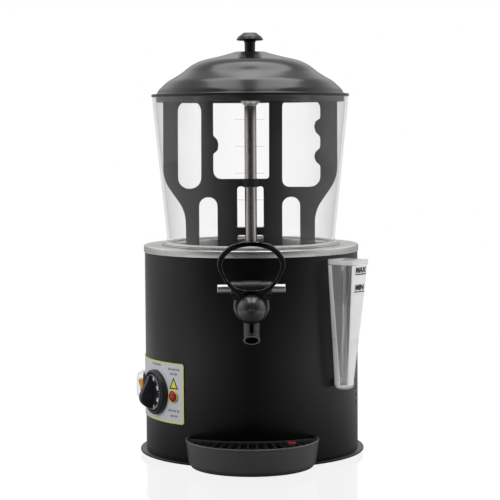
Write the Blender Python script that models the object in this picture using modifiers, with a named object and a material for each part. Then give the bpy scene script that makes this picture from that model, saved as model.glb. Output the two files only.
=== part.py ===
"""Hot drink dispenser with a clear stirred bowl over a water bath, as separate pieces.

Metres, +Z up. The origin is on the body's axis, at the underside of the base pan. The tap faces -Y.
Every piece that moves has its own origin, or its parent empty, on its joint's axis.
"""

import math

import bmesh
import bpy
from mathutils import Matrix, Vector

# ---------------------------------------------------------------- driving dimensions
GAP = 0.0003  # left between pieces that touch
SIDES = 36  # facets round a large turned piece
SMALL_SIDES = 20
TINY_SIDES = 12

BODY_R = 0.145
SHEET = 0.0015
FLANGE_R = 0.153
FLANGE_TOP = 0.003
BODY_TOP = 0.2716
DECK_TOP = 0.2810
LIP_R = 0.1462
FOOT_HEIGHT = 0.005
FOOT_R = 0.014
FOOT_OUT = 0.074
SCREW_AZIMUTH = 116.25

POT_R = 0.1012
POT_FLOOR = 0.1962
POT_WALL = 0.0012
TANK_R = 0.130
TANK_FLOOR = 0.0917
TANK_WALL = 0.0012

ELEMENT_R = 0.070
LEG_X = 0.012
LEG_Y = math.sqrt(ELEMENT_R**2 - LEG_X**2)
TUBE_R = 0.00825
TUBE_BORE_R = 0.00685
TUBE_BOTTOM = 0.0820
TUBE_TOP = 0.4687
SHAFT_R = 0.004
SHAFT_BORE_R = 0.0043
SHAFT_TOP = 0.4920

BOWL_TOP = 0.4810
BOWL_TOP_R = 0.1334
BOWL_FOOT = 0.2851
BOWL_FOOT_R = 0.1138
BOWL_WALL = 0.0030

LID_BRIM_R = 0.1341
LID_SKIRT_R = 0.1275
LID_SKIRT_BOTTOM = 0.4742
LID_CROWN = 0.5418
LID_WALL = 0.0025
KNOB_TOP = 0.5675
KNOB_R = 0.0180

PADDLE_BACK = 0.0130  # the paddle's flat middle lies behind the centre tube
PADDLE_PLATE = 0.0040
PADDLE_TOP = 0.4860
PADDLE_BOTTOM = 0.2035
WING_ANGLE = math.radians(15)
LEFT_CREASE = -0.0525
RIGHT_CREASE = 0.0692

TAP_Z = 0.2135
TAP_FRONT = 0.179
TAP_R = 0.0235
SPOUT_OUT = 0.166
SPOUT_R = 0.0105
SPOUT_BORE_R = 0.0078
SPOUT_TIP = 0.1640
PIN_OUT = 0.185
PIN_Z = 0.2366
PIN_R = 0.00585
PIN_HALF = 0.043
HUB_R = 0.0095
HUB_HALF = 0.0123
BALL_OUT = 0.205
BALL_Z = 0.2120
BALL_R = 0.0186

TRAY_OUT = 0.1326  # distance of the tray's round centre in front of the body's axis
TRAY_R = 0.0870
TRAY_RIM = 0.0367
TRAY_BOTTOM = 0.0006
TRAY_BACK_R = 0.1463
GRATE_TOP = 0.0335

LABEL_IN_R = 0.1453
LABEL_PLATE = 0.0008
LABEL_FROM = math.radians(37)
LABEL_TO = math.radians(115)
LABEL_LOW = 0.051
LABEL_HIGH = 0.131

LAMP_AZIMUTH = 45.0
LAMP_Z = 0.087
DIAL_AZIMUTH = 61.0
DIAL_Z = 0.0887
DIAL_R = 0.030
SWITCH_AZIMUTH = 88.0
SWITCH_Z = 0.089
ROCKER_TILT = math.radians(9)

FUNNEL_AZIMUTH = -48.7
FUNNEL_TOP = 0.2675
FUNNEL_NECK = 0.1076
FUNNEL_BOTTOM = 0.0960
FUNNEL_WALL = 0.0016
INLET_Z = 0.1045

OBJECT_NAME = "hot_drink_dispenser"


# ---------------------------------------------------------------- scene and helpers
def clear_scene():
    for old in list(bpy.data.objects):
        bpy.data.objects.remove(old, do_unlink=True)


def make_collection(name):
    made = bpy.data.collections.new(name)
    bpy.context.scene.collection.children.link(made)
    return made


clear_scene()
PARTS = make_collection(OBJECT_NAME)
CUTTERS = make_collection("cutters")


def make_material(name, colour, roughness, metallic=0.0, alpha=1.0):
    made = bpy.data.materials.new(name)
    made.use_nodes = True
    shader = made.node_tree.nodes["Principled BSDF"]
    shader.inputs["Base Color"].default_value = (*colour, 1.0)
    shader.inputs["Roughness"].default_value = roughness
    shader.inputs["Metallic"].default_value = metallic
    shader.inputs["Alpha"].default_value = alpha
    made.diffuse_color = (*colour, alpha)
    return made


BLACK_COAT = make_material("black powder coat", (0.012, 0.012, 0.013), 0.42)
BLACK_PLASTIC = make_material("black moulded plastic", (0.015, 0.015, 0.016), 0.35)
LID_PLASTIC = make_material("black lid plastic", (0.03, 0.03, 0.032), 0.38)
CLEAR = make_material("clear polycarbonate", (0.93, 0.95, 0.96), 0.05, 0.0, 0.25)
STEEL = make_material("brushed steel", (0.62, 0.61, 0.59), 0.28, 1.0)
BRIGHT_STEEL = make_material("polished steel", (0.72, 0.71, 0.69), 0.12, 1.0)
RUBBER = make_material("black rubber", (0.02, 0.02, 0.02), 0.8)
SILICONE = make_material("clear silicone", (0.8, 0.8, 0.8), 0.4)
LABEL_FILM = make_material("grey label film", (0.52, 0.54, 0.56), 0.45)
RED_LENS = make_material("red lens", (0.45, 0.02, 0.03), 0.15)
YELLOW = make_material("yellow ring", (0.7, 0.6, 0.05), 0.4)
ORANGE = make_material("orange rocker", (0.75, 0.32, 0.0), 0.25)
RED_PLASTIC = make_material("red float", (0.7, 0.05, 0.08), 0.4)
ZINC = make_material("zinc plated steel", (0.55, 0.56, 0.58), 0.4, 1.0)
COPPER_HEAT = make_material("sheathed element", (0.30, 0.24, 0.20), 0.45, 1.0)


def add_object(name, mesh, material, helper=False):
    made = bpy.data.objects.new(name, mesh)
    (CUTTERS if helper else PARTS).objects.link(made)
    made.hide_render = helper
    if helper:
        made.display_type = "WIRE"
    else:
        mesh.materials.append(material)
    return made


def finish_mesh(name, bm, material, helper=False, smooth=True):
    bmesh.ops.recalc_face_normals(bm, faces=bm.faces)
    if bm.calc_volume(signed=True) < 0:
        bmesh.ops.reverse_faces(bm, faces=bm.faces)
    mesh = bpy.data.meshes.new(name)
    bm.to_mesh(mesh)
    bm.free()
    if smooth:
        mesh.shade_smooth()
        mesh.set_sharp_from_angle(angle=math.radians(35))
    return add_object(name, mesh, material, helper)


def turned(name, profile, material, sides=SIDES, closed=True, helper=False):
    """A profile of (radius, height) pairs turned round Z. It runs down its outer side."""
    mesh = bpy.data.meshes.new(name)
    count = len(profile)
    edges = [(i, i + 1) for i in range(count - 1)]
    if closed:
        edges.append((count - 1, 0))
    mesh.from_pydata([(r, 0.0, z) for r, z in profile], edges, [])
    made = add_object(name, mesh, material, helper)
    screw = made.modifiers.new("Turn", "SCREW")
    screw.steps = sides
    screw.render_steps = sides
    screw.use_merge_vertices = True
    screw.merge_threshold = 0.00005
    screw.use_smooth_shade = True
    return made


def ring(name, outer, inner, low, high, material, sides=SIDES):
    """A plain ring: outer and inner radius, lower and upper face."""
    profile = [(outer, high), (outer, low), (inner, low), (inner, high)]
    return turned(name, profile, material, sides)


def rod(name, start, end, radius, material=None, sides=SMALL_SIDES, end_radius=None):
    """A round rod between two points. Without a material it is a helper."""
    start = Vector(start)
    end = Vector(end)
    bm = bmesh.new()
    bmesh.ops.create_cone(
        bm,
        cap_ends=True,
        segments=sides,
        radius1=radius,
        radius2=radius if end_radius is None else end_radius,
        depth=(end - start).length,
    )
    turn = (end - start).to_track_quat("Z", "Y").to_matrix().to_4x4()
    bm.transform(Matrix.Translation((start + end) / 2) @ turn)
    return finish_mesh(name, bm, material, helper=material is None)


def block(name, low, high, material=None, bevel=0.0):
    """A box between two corners, with its edges rounded by bevel."""
    bm = bmesh.new()
    bmesh.ops.create_cube(bm, size=1.0)
    size = [b - a for a, b in zip(low, high)]
    centre = [(a + b) / 2 for a, b in zip(low, high)]
    bm.transform(Matrix.Translation(centre) @ Matrix.Diagonal((*size, 1.0)))
    made = finish_mesh(name, bm, material, helper=material is None, smooth=False)
    if bevel:
        soften(made, bevel)
    return made


def soften(obj, width, segments=2):
    """Rounds an object's edges."""
    rounding = obj.modifiers.new("Round", "BEVEL")
    rounding.width = width
    rounding.segments = segments
    rounding.limit_method = "ANGLE"
    rounding.angle_limit = math.radians(40)


def combine(target, others, operation):
    for other in others:
        change = target.modifiers.new(operation.title(), "BOOLEAN")
        change.operation = operation
        change.object = other
        change.solver = "EXACT"


def cut(target, *others):
    combine(target, others, "DIFFERENCE")


def fuse(target, *others):
    combine(target, others, "UNION")


def rounded(corners, steps=4):
    """Outline points from (x, y, radius) corners, each radius turned by a short arc."""
    points = []
    count = len(corners)
    for i, (x, y, radius) in enumerate(corners):
        here = Vector((x, y))
        if not radius:
            points.append(here)
            continue
        to_last = (Vector(corners[i - 1][:2]) - here).normalized()
        to_next = (Vector(corners[(i + 1) % count][:2]) - here).normalized()
        half = to_last.angle(to_next) / 2
        reach = radius / math.tan(half)
        middle = here + (to_last + to_next).normalized() * (radius / math.sin(half))
        first = here + to_last * reach - middle
        last = here + to_next * reach - middle
        sweep = first.angle_signed(last)
        for k in range(steps + 1):
            turn = -sweep * k / steps
            spun = Matrix.Rotation(turn, 2) @ first
            points.append(middle + spun)
    return points


def mesh_from_curve(curve):
    """The curve's evaluated mesh with its caps welded, as a bmesh. The curve is removed."""
    holder = bpy.data.objects.new("curve", curve)
    bpy.context.scene.collection.objects.link(holder)
    bpy.context.view_layer.update()
    graph = bpy.context.evaluated_depsgraph_get()
    mesh = bpy.data.meshes.new_from_object(holder.evaluated_get(graph))
    bpy.data.objects.remove(holder, do_unlink=True)
    bm = bmesh.new()
    bm.from_mesh(mesh)
    bpy.data.meshes.remove(mesh)
    bmesh.ops.remove_doubles(bm, verts=bm.verts, dist=0.000002)
    return bm


def plate_mesh(loops, thickness):
    """A flat plate with holes, standing in the XZ plane and centred on Y = 0, as a bmesh."""
    curve = bpy.data.curves.new("outline", "CURVE")
    curve.dimensions = "2D"
    curve.fill_mode = "BOTH"
    curve.extrude = thickness / 2
    for loop in loops:
        spline = curve.splines.new("POLY")
        spline.points.add(len(loop) - 1)
        for point, (x, y) in zip(spline.points, loop):
            point.co = (x, y, 0.0, 1.0)
        spline.use_cyclic_u = True
    bm = mesh_from_curve(curve)
    bm.transform(Matrix.Rotation(math.pi / 2, 4, "X"))
    return bm


def split_at(bm, positions):
    """Adds edges where planes of constant X cross the mesh, so that it can bend there."""
    for x in positions:
        geometry = [*bm.verts, *bm.edges, *bm.faces]
        bmesh.ops.bisect_plane(bm, geom=geometry, plane_co=(x, 0, 0), plane_no=(1, 0, 0), dist=1e-7)


def tube(name, points, radius, material, helper=False, resolution=2):
    """A round bar along points."""
    curve = bpy.data.curves.new(name, "CURVE")
    curve.dimensions = "3D"
    curve.bevel_depth = radius
    curve.bevel_resolution = resolution
    curve.use_fill_caps = True
    spline = curve.splines.new("POLY")
    spline.points.add(len(points) - 1)
    for point, place in zip(spline.points, points):
        point.co = (*place, 1.0)
    return finish_mesh(name, mesh_from_curve(curve), material, helper)


def station(name, azimuth, height):
    """An empty on the body's axis whose -Y faces outward, azimuth degrees left of the front."""
    made = bpy.data.objects.new(name, None)
    PARTS.objects.link(made)
    made.location = (0.0, 0.0, height)
    made.rotation_euler = (0.0, 0.0, -math.radians(azimuth))
    return made


def at_station(place, *objects):
    """Hangs objects, modelled as if at the front, on a station."""
    for obj in objects:
        obj.parent = place


def facing_out(place, *objects):
    """Hangs objects turned round Z on a station, with their Z pointing outward."""
    for obj in objects:
        obj.parent = place
        obj.rotation_euler = (math.pi / 2, 0.0, 0.0)


def hex_ring(name, across, bore, y_from, y_to, material, z=0.0):
    """A hexagon nut round the Y axis at height z."""
    corner = across / 2 / math.cos(math.pi / 6)
    made = rod(name, (0, y_from, z), (0, y_to, z), corner, material, sides=6)
    hole = rod(name + " bore", (0, y_from + 0.001, z), (0, y_to - 0.001, z), bore)
    cut(made, hole)
    return made, hole


# ---------------------------------------------------------------- body, base and deck
def make_base_pan():
    upstand_out = 0.1422
    upstand_in = 0.1405
    floor = 0.002
    upstand_top = 0.018
    bead_depth = 0.0006  # a pressed ring that stiffens the pan, inside the feet
    turned(
        "base_pan",
        [
            (0.0, floor),
            (upstand_in, floor),
            (upstand_in, upstand_top),
            (upstand_out, upstand_top),
            (upstand_out, FLANGE_TOP),
            (FLANGE_R, FLANGE_TOP),
            (FLANGE_R, 0.0),
            (0.066, 0.0),
            (0.065, bead_depth),
            (0.061, bead_depth),
            (0.060, 0.0),
            (0.0, 0.0),
        ],
        BLACK_COAT,
        closed=False,
    )


def make_feet():
    for number, (sx, sy) in enumerate(((-1, -1), (1, -1), (1, 1), (-1, 1)), 1):
        foot = turned(
            f"foot_{number}",
            [
                (0.0, -GAP),
                (FOOT_R - 0.002, -GAP),
                (FOOT_R, -FOOT_HEIGHT + 0.001),
                (FOOT_R - 0.001, -FOOT_HEIGHT),
                (0.0, -FOOT_HEIGHT),
            ],
            RUBBER,
            SMALL_SIDES,
            closed=False,
        )
        foot.location = (sx * FOOT_OUT, sy * FOOT_OUT, 0.0)


def make_body_shell():
    shell = ring("body_shell", BODY_R, BODY_R - SHEET, FLANGE_TOP + GAP, BODY_TOP, BLACK_COAT)
    holes = [rod("tap hole", (0, -0.130, TAP_Z), (0, -0.160, TAP_Z), 0.0134)]
    holes += [
        rod("gland hole", (0, 0.130, 0.040), (0, 0.160, 0.040), 0.0083),
        rod("drain hole", (0.060, 0.115, 0.045), (0.060, 0.160, 0.045), 0.0064),
    ]
    for name, azimuth, height, radius in (
        ("dial hole", DIAL_AZIMUTH, DIAL_Z, 0.0060),
        ("lamp hole", LAMP_AZIMUTH, LAMP_Z, 0.0076),
        ("inlet hole", FUNNEL_AZIMUTH, INLET_Z, 0.0064),
    ):
        hole = rod(name, (0, -0.130, 0), (0, -0.160, 0), radius, sides=TINY_SIDES)
        at_station(station(name + " place", azimuth, height), hole)
        holes.append(hole)
    window = block("switch hole", (-0.0108, -0.160, -0.0138), (0.0108, -0.130, 0.0138))
    at_station(station("switch hole place", SWITCH_AZIMUTH, SWITCH_Z), window)
    holes.append(window)
    for number in range(3):
        hole = rod(f"screw hole {number}", (0, -0.130, 0), (0, -0.160, 0), 0.0024, sides=8)
        at_station(station(f"screw hole place {number}", SCREW_AZIMUTH + 60 * number, 0.0110), hole)
        holes.append(hole)
    cut(shell, *holes)
    cut(shell, make_vent_cutter())


def make_vent_cutter():
    """Rows of small round air holes in the right side, as one cutter."""
    columns, rows = 4, 4
    bm = bmesh.new()
    for column in range(columns):
        angle = math.radians(76 + 8 * column)
        outward = Vector((math.sin(angle), -math.cos(angle), 0))
        turn = outward.to_track_quat("Z", "Y").to_matrix().to_4x4()
        for row in range(rows):
            place = outward * BODY_R + Vector((0, 0, 0.0680 + 0.0100 * row))
            bmesh.ops.create_cone(
                bm,
                cap_ends=True,
                segments=6,
                radius1=0.0022,
                radius2=0.0022,
                depth=0.012,
                matrix=Matrix.Translation(place) @ turn,
            )
    return finish_mesh("vent holes", bm, None, helper=True)


def make_deck_ring():
    lip_in = 0.1447
    plate_low = 0.2795
    plate_in = 0.104
    turned(
        "deck_ring",
        [
            (LIP_R, DECK_TOP),
            (LIP_R, BODY_TOP + GAP),
            (lip_in, BODY_TOP + GAP),
            (lip_in, plate_low),
            (plate_in, plate_low),
            (plate_in, DECK_TOP),
        ],
        BRIGHT_STEEL,
    )


def make_pot():
    """The steel pot under the bowl, with the stub that feeds the tap."""
    flange_r = 0.1220
    flange_low = DECK_TOP + GAP
    flange_top = flange_low + POT_WALL
    below = POT_FLOOR - POT_WALL
    inner = POT_R - POT_WALL
    bore = TUBE_R + GAP
    pot = turned(
        "steel_pot",
        [
            (flange_r, flange_top),
            (flange_r, flange_low),
            (POT_R, flange_low),
            (POT_R, below + 0.0060),
            (POT_R - 0.0060, below),
            (bore, below),
            (bore, POT_FLOOR),
            (inner - 0.0055, POT_FLOOR),
            (inner, POT_FLOOR + 0.0055),
            (inner, flange_top),
        ],
        STEEL,
    )
    stub = rod("pot stub", (0, -inner - 0.0006, TAP_Z), (0, -0.1360, TAP_Z), 0.0107)
    bore_cut = rod("pot stub bore", (0, -0.090, TAP_Z), (0, -0.140, TAP_Z), 0.0090)
    fuse(pot, stub)
    cut(pot, bore_cut)


def make_tank():
    """The water-bath tank that hangs under the deck round the pot."""
    flange_r = 0.1425
    top = 0.2792
    inner = TANK_R - TANK_WALL
    below = TANK_FLOOR - TANK_WALL
    bore = TUBE_R + GAP
    tank = turned(
        "water_tank",
        [
            (flange_r, top),
            (flange_r, top - TANK_WALL),
            (TANK_R, top - TANK_WALL),
            (TANK_R, below + 0.0035),
            (TANK_R - 0.0035, below),
            (bore, below),
            (bore, TANK_FLOOR),
            (inner - 0.0030, TANK_FLOOR),
            (inner, TANK_FLOOR + 0.0030),
            (inner, top),
        ],
        STEEL,
    )
    outlet = rod("tank outlet hole", (0, -0.120, TAP_Z), (0, -0.140, TAP_Z), 0.0130)
    inlet = rod("tank inlet hole", (0, -0.120, 0), (0, -0.140, 0), 0.0063, sides=TINY_SIDES)
    at_station(station("tank inlet place", FUNNEL_AZIMUTH, INLET_Z), inlet)
    legs = []
    for side in (-1, 1):
        x = side * LEG_X
        legs.append(rod(f"leg hole {side}", (x, LEG_Y, 0.080), (x, LEG_Y, 0.100), 0.0054))
    drain = rod("tank drain hole", (0.060, 0.085, 0.080), (0.060, 0.085, 0.100), 0.0064)
    cut(tank, outlet, inlet, *legs, drain)
    seal = turned(
        "outlet_seal",
        [(0.0126, 0.1330), (0.0126, 0.1264), (0.0110, 0.1264), (0.0110, 0.1330)],
        SILICONE,
        SMALL_SIDES,
    )
    seal.rotation_euler = (math.pi / 2, 0.0, 0.0)
    seal.location = (0.0, 0.0, TAP_Z)


# ---------------------------------------------------------------- bowl and lid
def make_bowl():
    foot_in = BOWL_FOOT_R - 0.0055
    wall_foot = BOWL_FOOT + 0.0045
    turned(
        "bowl",
        [
            (BOWL_TOP_R, BOWL_TOP),
            (BOWL_FOOT_R + 0.0004, wall_foot),
            (BOWL_FOOT_R, BOWL_FOOT),
            (foot_in, BOWL_FOOT),
            (foot_in, BOWL_FOOT + 0.0030),
            (BOWL_FOOT_R + 0.0004 - BOWL_WALL, wall_foot),
            (BOWL_TOP_R - BOWL_WALL, BOWL_TOP),
        ],
        CLEAR,
    )
    ring("bowl_gasket", 0.1165, 0.1072, 0.2828, BOWL_FOOT - GAP, SILICONE)


def lid_curve():
    """The dome's outer line from its crown to its brim: a low cap on a wide shoulder."""
    points = [
        (0.0200, LID_CROWN),
        (0.0450, 0.5349),
        (0.0720, 0.5276),
        (0.0862, 0.5186),
        (0.1160, 0.4983),
        (0.1243, 0.4902),
        (0.1268, 0.4850),
    ]
    return points


def make_lid():
    outer = lid_curve()
    screw_hole = 0.0026
    dimple = LID_CROWN - 0.0028
    brim_low = BOWL_TOP + GAP
    skirt_in = LID_SKIRT_R - 0.0020
    inner = []
    for (r0, z0), (r1, z1) in zip(outer, outer[1:]):
        length = math.hypot(r1 - r0, z1 - z0)
        middle = ((r0 + r1) / 2, (z0 + z1) / 2)
        across = (z1 - z0) / length * LID_WALL
        down = (r1 - r0) / length * LID_WALL
        inner.append((middle[0] + across, middle[1] - down))
    inner = [point for point in inner if point[0] < skirt_in - 0.0004]
    profile = [
        (screw_hole, dimple),
        (0.0120, dimple),
        (0.0155, LID_CROWN - 0.0006),
        *outer,
        (LID_BRIM_R, 0.4848),
        (LID_BRIM_R, brim_low),
        (LID_SKIRT_R, brim_low),
        (LID_SKIRT_R, LID_SKIRT_BOTTOM),
        (skirt_in, LID_SKIRT_BOTTOM),
        (skirt_in, 0.4850),
        *reversed(inner),
        (0.0120, dimple - LID_WALL),
        (screw_hole, dimple - LID_WALL),
    ]
    turned("lid", profile, LID_PLASTIC)
    stem_bottom = dimple + GAP
    turned(
        "lid_knob",
        [
            (0.0, KNOB_TOP),
            (0.0085, KNOB_TOP),
            (0.0125, KNOB_TOP - 0.0025),
            (0.0160, KNOB_TOP - 0.0062),
            (KNOB_R, KNOB_TOP - 0.0086),
            (KNOB_R, KNOB_TOP - 0.0098),
            (0.0165, KNOB_TOP - 0.0104),
            (0.0074, KNOB_TOP - 0.0104),
            (0.0072, stem_bottom),
            (0.0023, stem_bottom),
            (0.0023, 0.5520),
            (0.0, 0.5520),
        ],
        BLACK_PLASTIC,
        SMALL_SIDES,
        closed=False,
    )
    head_top = dimple - LID_WALL - GAP
    turned(
        "knob_screw",
        [
            (0.0, 0.5515),
            (0.0020, 0.5515),
            (0.0020, head_top),
            (0.0042, head_top),
            (0.0038, head_top - 0.0025),
            (0.0, head_top - 0.0030),
        ],
        ZINC,
        TINY_SIDES,
        closed=False,
    )


# ---------------------------------------------------------------- stirrer
def paddle_loops():
    """Outline and windows of the flat paddle, as (x, z) loops."""
    outer = rounded(
        [
            (-0.1180, PADDLE_TOP, 0.004),
            (-0.1187, 0.3675, 0.060),
            (-0.0893, 0.3275, 0.045),
            (-0.0885, PADDLE_BOTTOM, 0.010),
            (0.0875, PADDLE_BOTTOM, 0.010),
            (0.0876, 0.3270, 0.045),
            (0.1180, 0.3690, 0.060),
            (0.1180, PADDLE_TOP, 0.004),
        ],
        3,
    )
    window_top = 0.4765
    left = rounded(
        [
            (-0.0980, window_top, 0.013),
            (-0.0668, window_top, 0.013),
            (-0.0676, 0.3565, 0.014),
            (-0.0989, 0.3565, 0.014),
        ],
        3,
    )
    centre = rounded(
        [
            (-0.0507, window_top, 0.004),
            (0.0256, window_top, 0.004),
            (0.0252, 0.3694, 0.004),
            (-0.0510, 0.3694, 0.011),
            (-0.0509, 0.4061, 0.0),
            (-0.0444, 0.4161, 0.0),
            (-0.0508, 0.4279, 0.0),
        ],
        3,
    )
    right = rounded(
        [
            (0.0437, window_top, 0.007),
            (0.0953, window_top, 0.011),
            (0.0952, 0.4509, 0.0),
            (0.0874, 0.4405, 0.0),
            (0.0951, 0.4279, 0.0),
            (0.0950, 0.4102, 0.0),
            (0.0874, 0.3999, 0.0),
            (0.0952, 0.3898, 0.0),
            (0.0950, 0.3581, 0.017),
            (0.0431, 0.3581, 0.010),
        ],
        3,
    )
    lower = rounded(
        [
            (-0.0185, 0.3591, 0.003),
            (0.0175, 0.3591, 0.003),
            (0.0175, 0.3030, 0.0),
            (-0.0185, 0.3030, 0.0),
        ],
        2,
    )
    foot_low = PADDLE_BOTTOM + 0.013
    foot = rounded(
        [
            (-0.0185, 0.2923, 0.002),
            (0.0175, 0.2923, 0.002),
            (0.0175, foot_low, 0.002),
            (-0.0185, foot_low, 0.002),
        ],
        2,
    )
    arches = [
        rounded(
            [(low, 0.3445, 0.011), (high, 0.3445, 0.011), (high, foot_low, 0.003), (low, foot_low, 0.003)],
            3,
        )
        for low, high in ((-0.0707, -0.0457), (0.0430, 0.0675))
    ]
    return [outer, left, centre, right, lower, foot, *arches]


def make_paddle():
    bm = plate_mesh(paddle_loops(), PADDLE_PLATE)
    split_at(bm, (LEFT_CREASE, RIGHT_CREASE))
    middle = PADDLE_BACK - PADDLE_PLATE / 2
    for vert in bm.verts:
        past = max(LEFT_CREASE - vert.co.x, vert.co.x - RIGHT_CREASE, 0.0)
        vert.co.y += middle - past * math.tan(WING_ANGLE)
    paddle = finish_mesh("mixer_paddle", bm, BLACK_PLASTIC)
    collar = rod("collar", (0, 0, 0.3585), (0, 0, 0.3699), 0.0112)
    collar_bore = rod("collar bore", (0, 0, 0.3500), (0, 0, 0.3800), TUBE_R + 0.0004)
    hub = rod("hub", (0, 0, 0.4771), (0, 0, PADDLE_TOP), 0.0130)
    hub_bore = rod("hub bore", (0, 0, 0.4700), (0, 0, 0.4900), SHAFT_BORE_R)
    fuse(paddle, collar, hub)
    cut(paddle, collar_bore, hub_bore)


def make_drive():
    """Centre tube, shaft, bushes, drive cap, nut, gearbox, motor and bracket."""
    ring("centre_tube", TUBE_R, TUBE_BORE_R, TUBE_BOTTOM, TUBE_TOP, STEEL, SMALL_SIDES)
    rod("drive_shaft", (0, 0, 0.0797), (0, 0, SHAFT_TOP), SHAFT_R, STEEL, TINY_SIDES)
    bush_r = TUBE_BORE_R - GAP
    for name, low in (("shaft_bush_top", 0.4550), ("shaft_bush_bottom", 0.0840)):
        ring(name, bush_r, SHAFT_BORE_R, low, low + 0.0120, BLACK_PLASTIC, TINY_SIDES)
    cap_low = TUBE_TOP + GAP
    turned(
        "drive_cap",
        [
            (0.0130, 0.4762),
            (0.0130, 0.4752),
            (0.0105, 0.4716),
            (0.0086, cap_low),
            (SHAFT_BORE_R, cap_low),
            (SHAFT_BORE_R, 0.4762),
        ],
        BRIGHT_STEEL,
        SMALL_SIDES,
    )
    nut_low = PADDLE_TOP + GAP
    turned(
        "paddle_nut",
        [
            (0.0, 0.4965),
            (0.0045, 0.4958),
            (0.0078, 0.4935),
            (0.0088, 0.4900),
            (0.0088, nut_low),
            (SHAFT_BORE_R, nut_low),
            (SHAFT_BORE_R, 0.4925),
            (0.0, 0.4925),
        ],
        BLACK_PLASTIC,
        SMALL_SIDES,
        closed=False,
    )
    plate_low = 0.0798
    plate_top = 0.0815
    leg_out = 0.0750
    half = 0.0300
    bracket = block("motor_bracket", (-leg_out, -half, plate_low), (leg_out, half, plate_top), ZINC)
    helpers = []
    for side, name in ((-1, "left"), (1, "right")):
        inner = side * (leg_out - 0.0017)
        outer = side * leg_out
        foot = side * (leg_out + 0.0150)
        low = 0.0023
        helpers.append(
            block(f"{name} leg", (min(inner, outer), -half, low), (max(inner, outer), half, plate_top))
        )
        helpers.append(
            block(f"{name} toe", (min(inner, foot), -half, low), (max(inner, foot), half, low + 0.0017))
        )
    fuse(bracket, *helpers)
    cut(bracket, rod("bracket bore", (0, 0, 0.0700), (0, 0, 0.0900), 0.0060))
    rod("gearbox", (0, 0, 0.0560), (0, 0, 0.0794), 0.0350, ZINC)
    rod("drive_motor", (0, 0, 0.0100), (0, 0, 0.0557), 0.0280, ZINC)


# ---------------------------------------------------------------- heating, filling and draining
def make_heating():
    element_z = 0.1030
    first = math.asin(LEG_X / ELEMENT_R)
    turns = 20
    points = []
    for k in range(turns + 1):
        angle = first + (2 * math.pi - 2 * first) * k / turns
        points.append((ELEMENT_R * math.sin(angle), ELEMENT_R * math.cos(angle), element_z))
    start = points[0]
    end = points[-1]
    path = [(start[0], start[1], 0.0780), (start[0], start[1], element_z - 0.004)]
    path += points[1:-1]
    path += [(end[0], end[1], element_z - 0.004), (end[0], end[1], 0.0780)]
    tube("heating_element", path, 0.0045, COPPER_HEAT, resolution=1)
    low = TANK_FLOOR - TANK_WALL - GAP - 0.0030
    plate = block(
        "element_plate", (-0.026, 0.058, low), (0.026, 0.082, low + 0.0030), ZINC, bevel=0.001
    )
    for side in (-1, 1):
        x = side * LEG_X
        cut(plate, rod(f"plate hole {side}", (x, LEG_Y, 0.080), (x, LEG_Y, 0.095), 0.0052))
    rod("thermal_cutout", (-0.050, -0.045, 0.0795), (-0.050, -0.045, 0.0902), 0.0080, BLACK_PLASTIC)
    block("terminal_block", (-0.025, 0.095, 0.0023), (0.010, 0.112, 0.0180), BLACK_PLASTIC, 0.001)


def make_drain():
    low = 0.045
    start = TANK_FLOOR + 0.004
    path = [(0.060, 0.085, start), (0.060, 0.085, low + 0.012), (0.060, 0.0885, low + 0.0035)]
    path += [(0.060, 0.097, low), (0.060, 0.148, low)]
    tube("drain_pipe", path, 0.0055, STEEL)
    cap = turned(
        "drain_cap",
        [
            (0.0, 0.1620),
            (0.0085, 0.1620),
            (0.0095, 0.1610),
            (0.0095, 0.1462),
            (0.0060, 0.1462),
            (0.0060, 0.1485),
            (0.0, 0.1485),
        ],
        BLACK_PLASTIC,
        SMALL_SIDES,
        closed=False,
    )
    cap.rotation_euler = (-math.pi / 2, 0.0, 0.0)
    cap.location = (0.060, 0.0, low)
    gland = turned(
        "cable_gland",
        [
            (0.0080, 0.1660),
            (0.0108, 0.1600),
            (0.0108, 0.1455),
            (0.0080, 0.1455),
            (0.0080, 0.1390),
            (0.0042, 0.1390),
            (0.0042, 0.1660),
        ],
        BLACK_PLASTIC,
        SMALL_SIDES,
    )
    gland.rotation_euler = (-math.pi / 2, 0.0, 0.0)
    gland.location = (0.0, 0.0, 0.040)


def rounded_rectangle(half_x, half_y, corner, centre_y, steps=3):
    points = []
    for quarter, (sx, sy) in enumerate(((1, 1), (-1, 1), (-1, -1), (1, -1))):
        for k in range(steps + 1):
            angle = (quarter + k / steps) * math.pi / 2
            x = sx * (half_x - corner) + corner * math.cos(angle)
            y = sy * (half_y - corner) + corner * math.sin(angle)
            points.append((x, centre_y + y))
    return points


def funnel_section(height, inset):
    """The funnel's cross-section at a height, shrunk by inset."""
    share = min(max((height - FUNNEL_NECK) / (FUNNEL_TOP - FUNNEL_NECK), 0.0), 1.0)
    half_x = 0.0125 + (0.0173 - 0.0125) * share
    half_y = 0.0125 + (0.0218 - 0.0125) * share
    corner = 0.0125 + (0.0040 - 0.0125) * share
    centre = -(0.1612 + (0.1684 - 0.1612) * share)
    corner = max(corner - inset, 0.0005)
    return rounded_rectangle(half_x - inset, half_y - inset, corner, centre)


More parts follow.
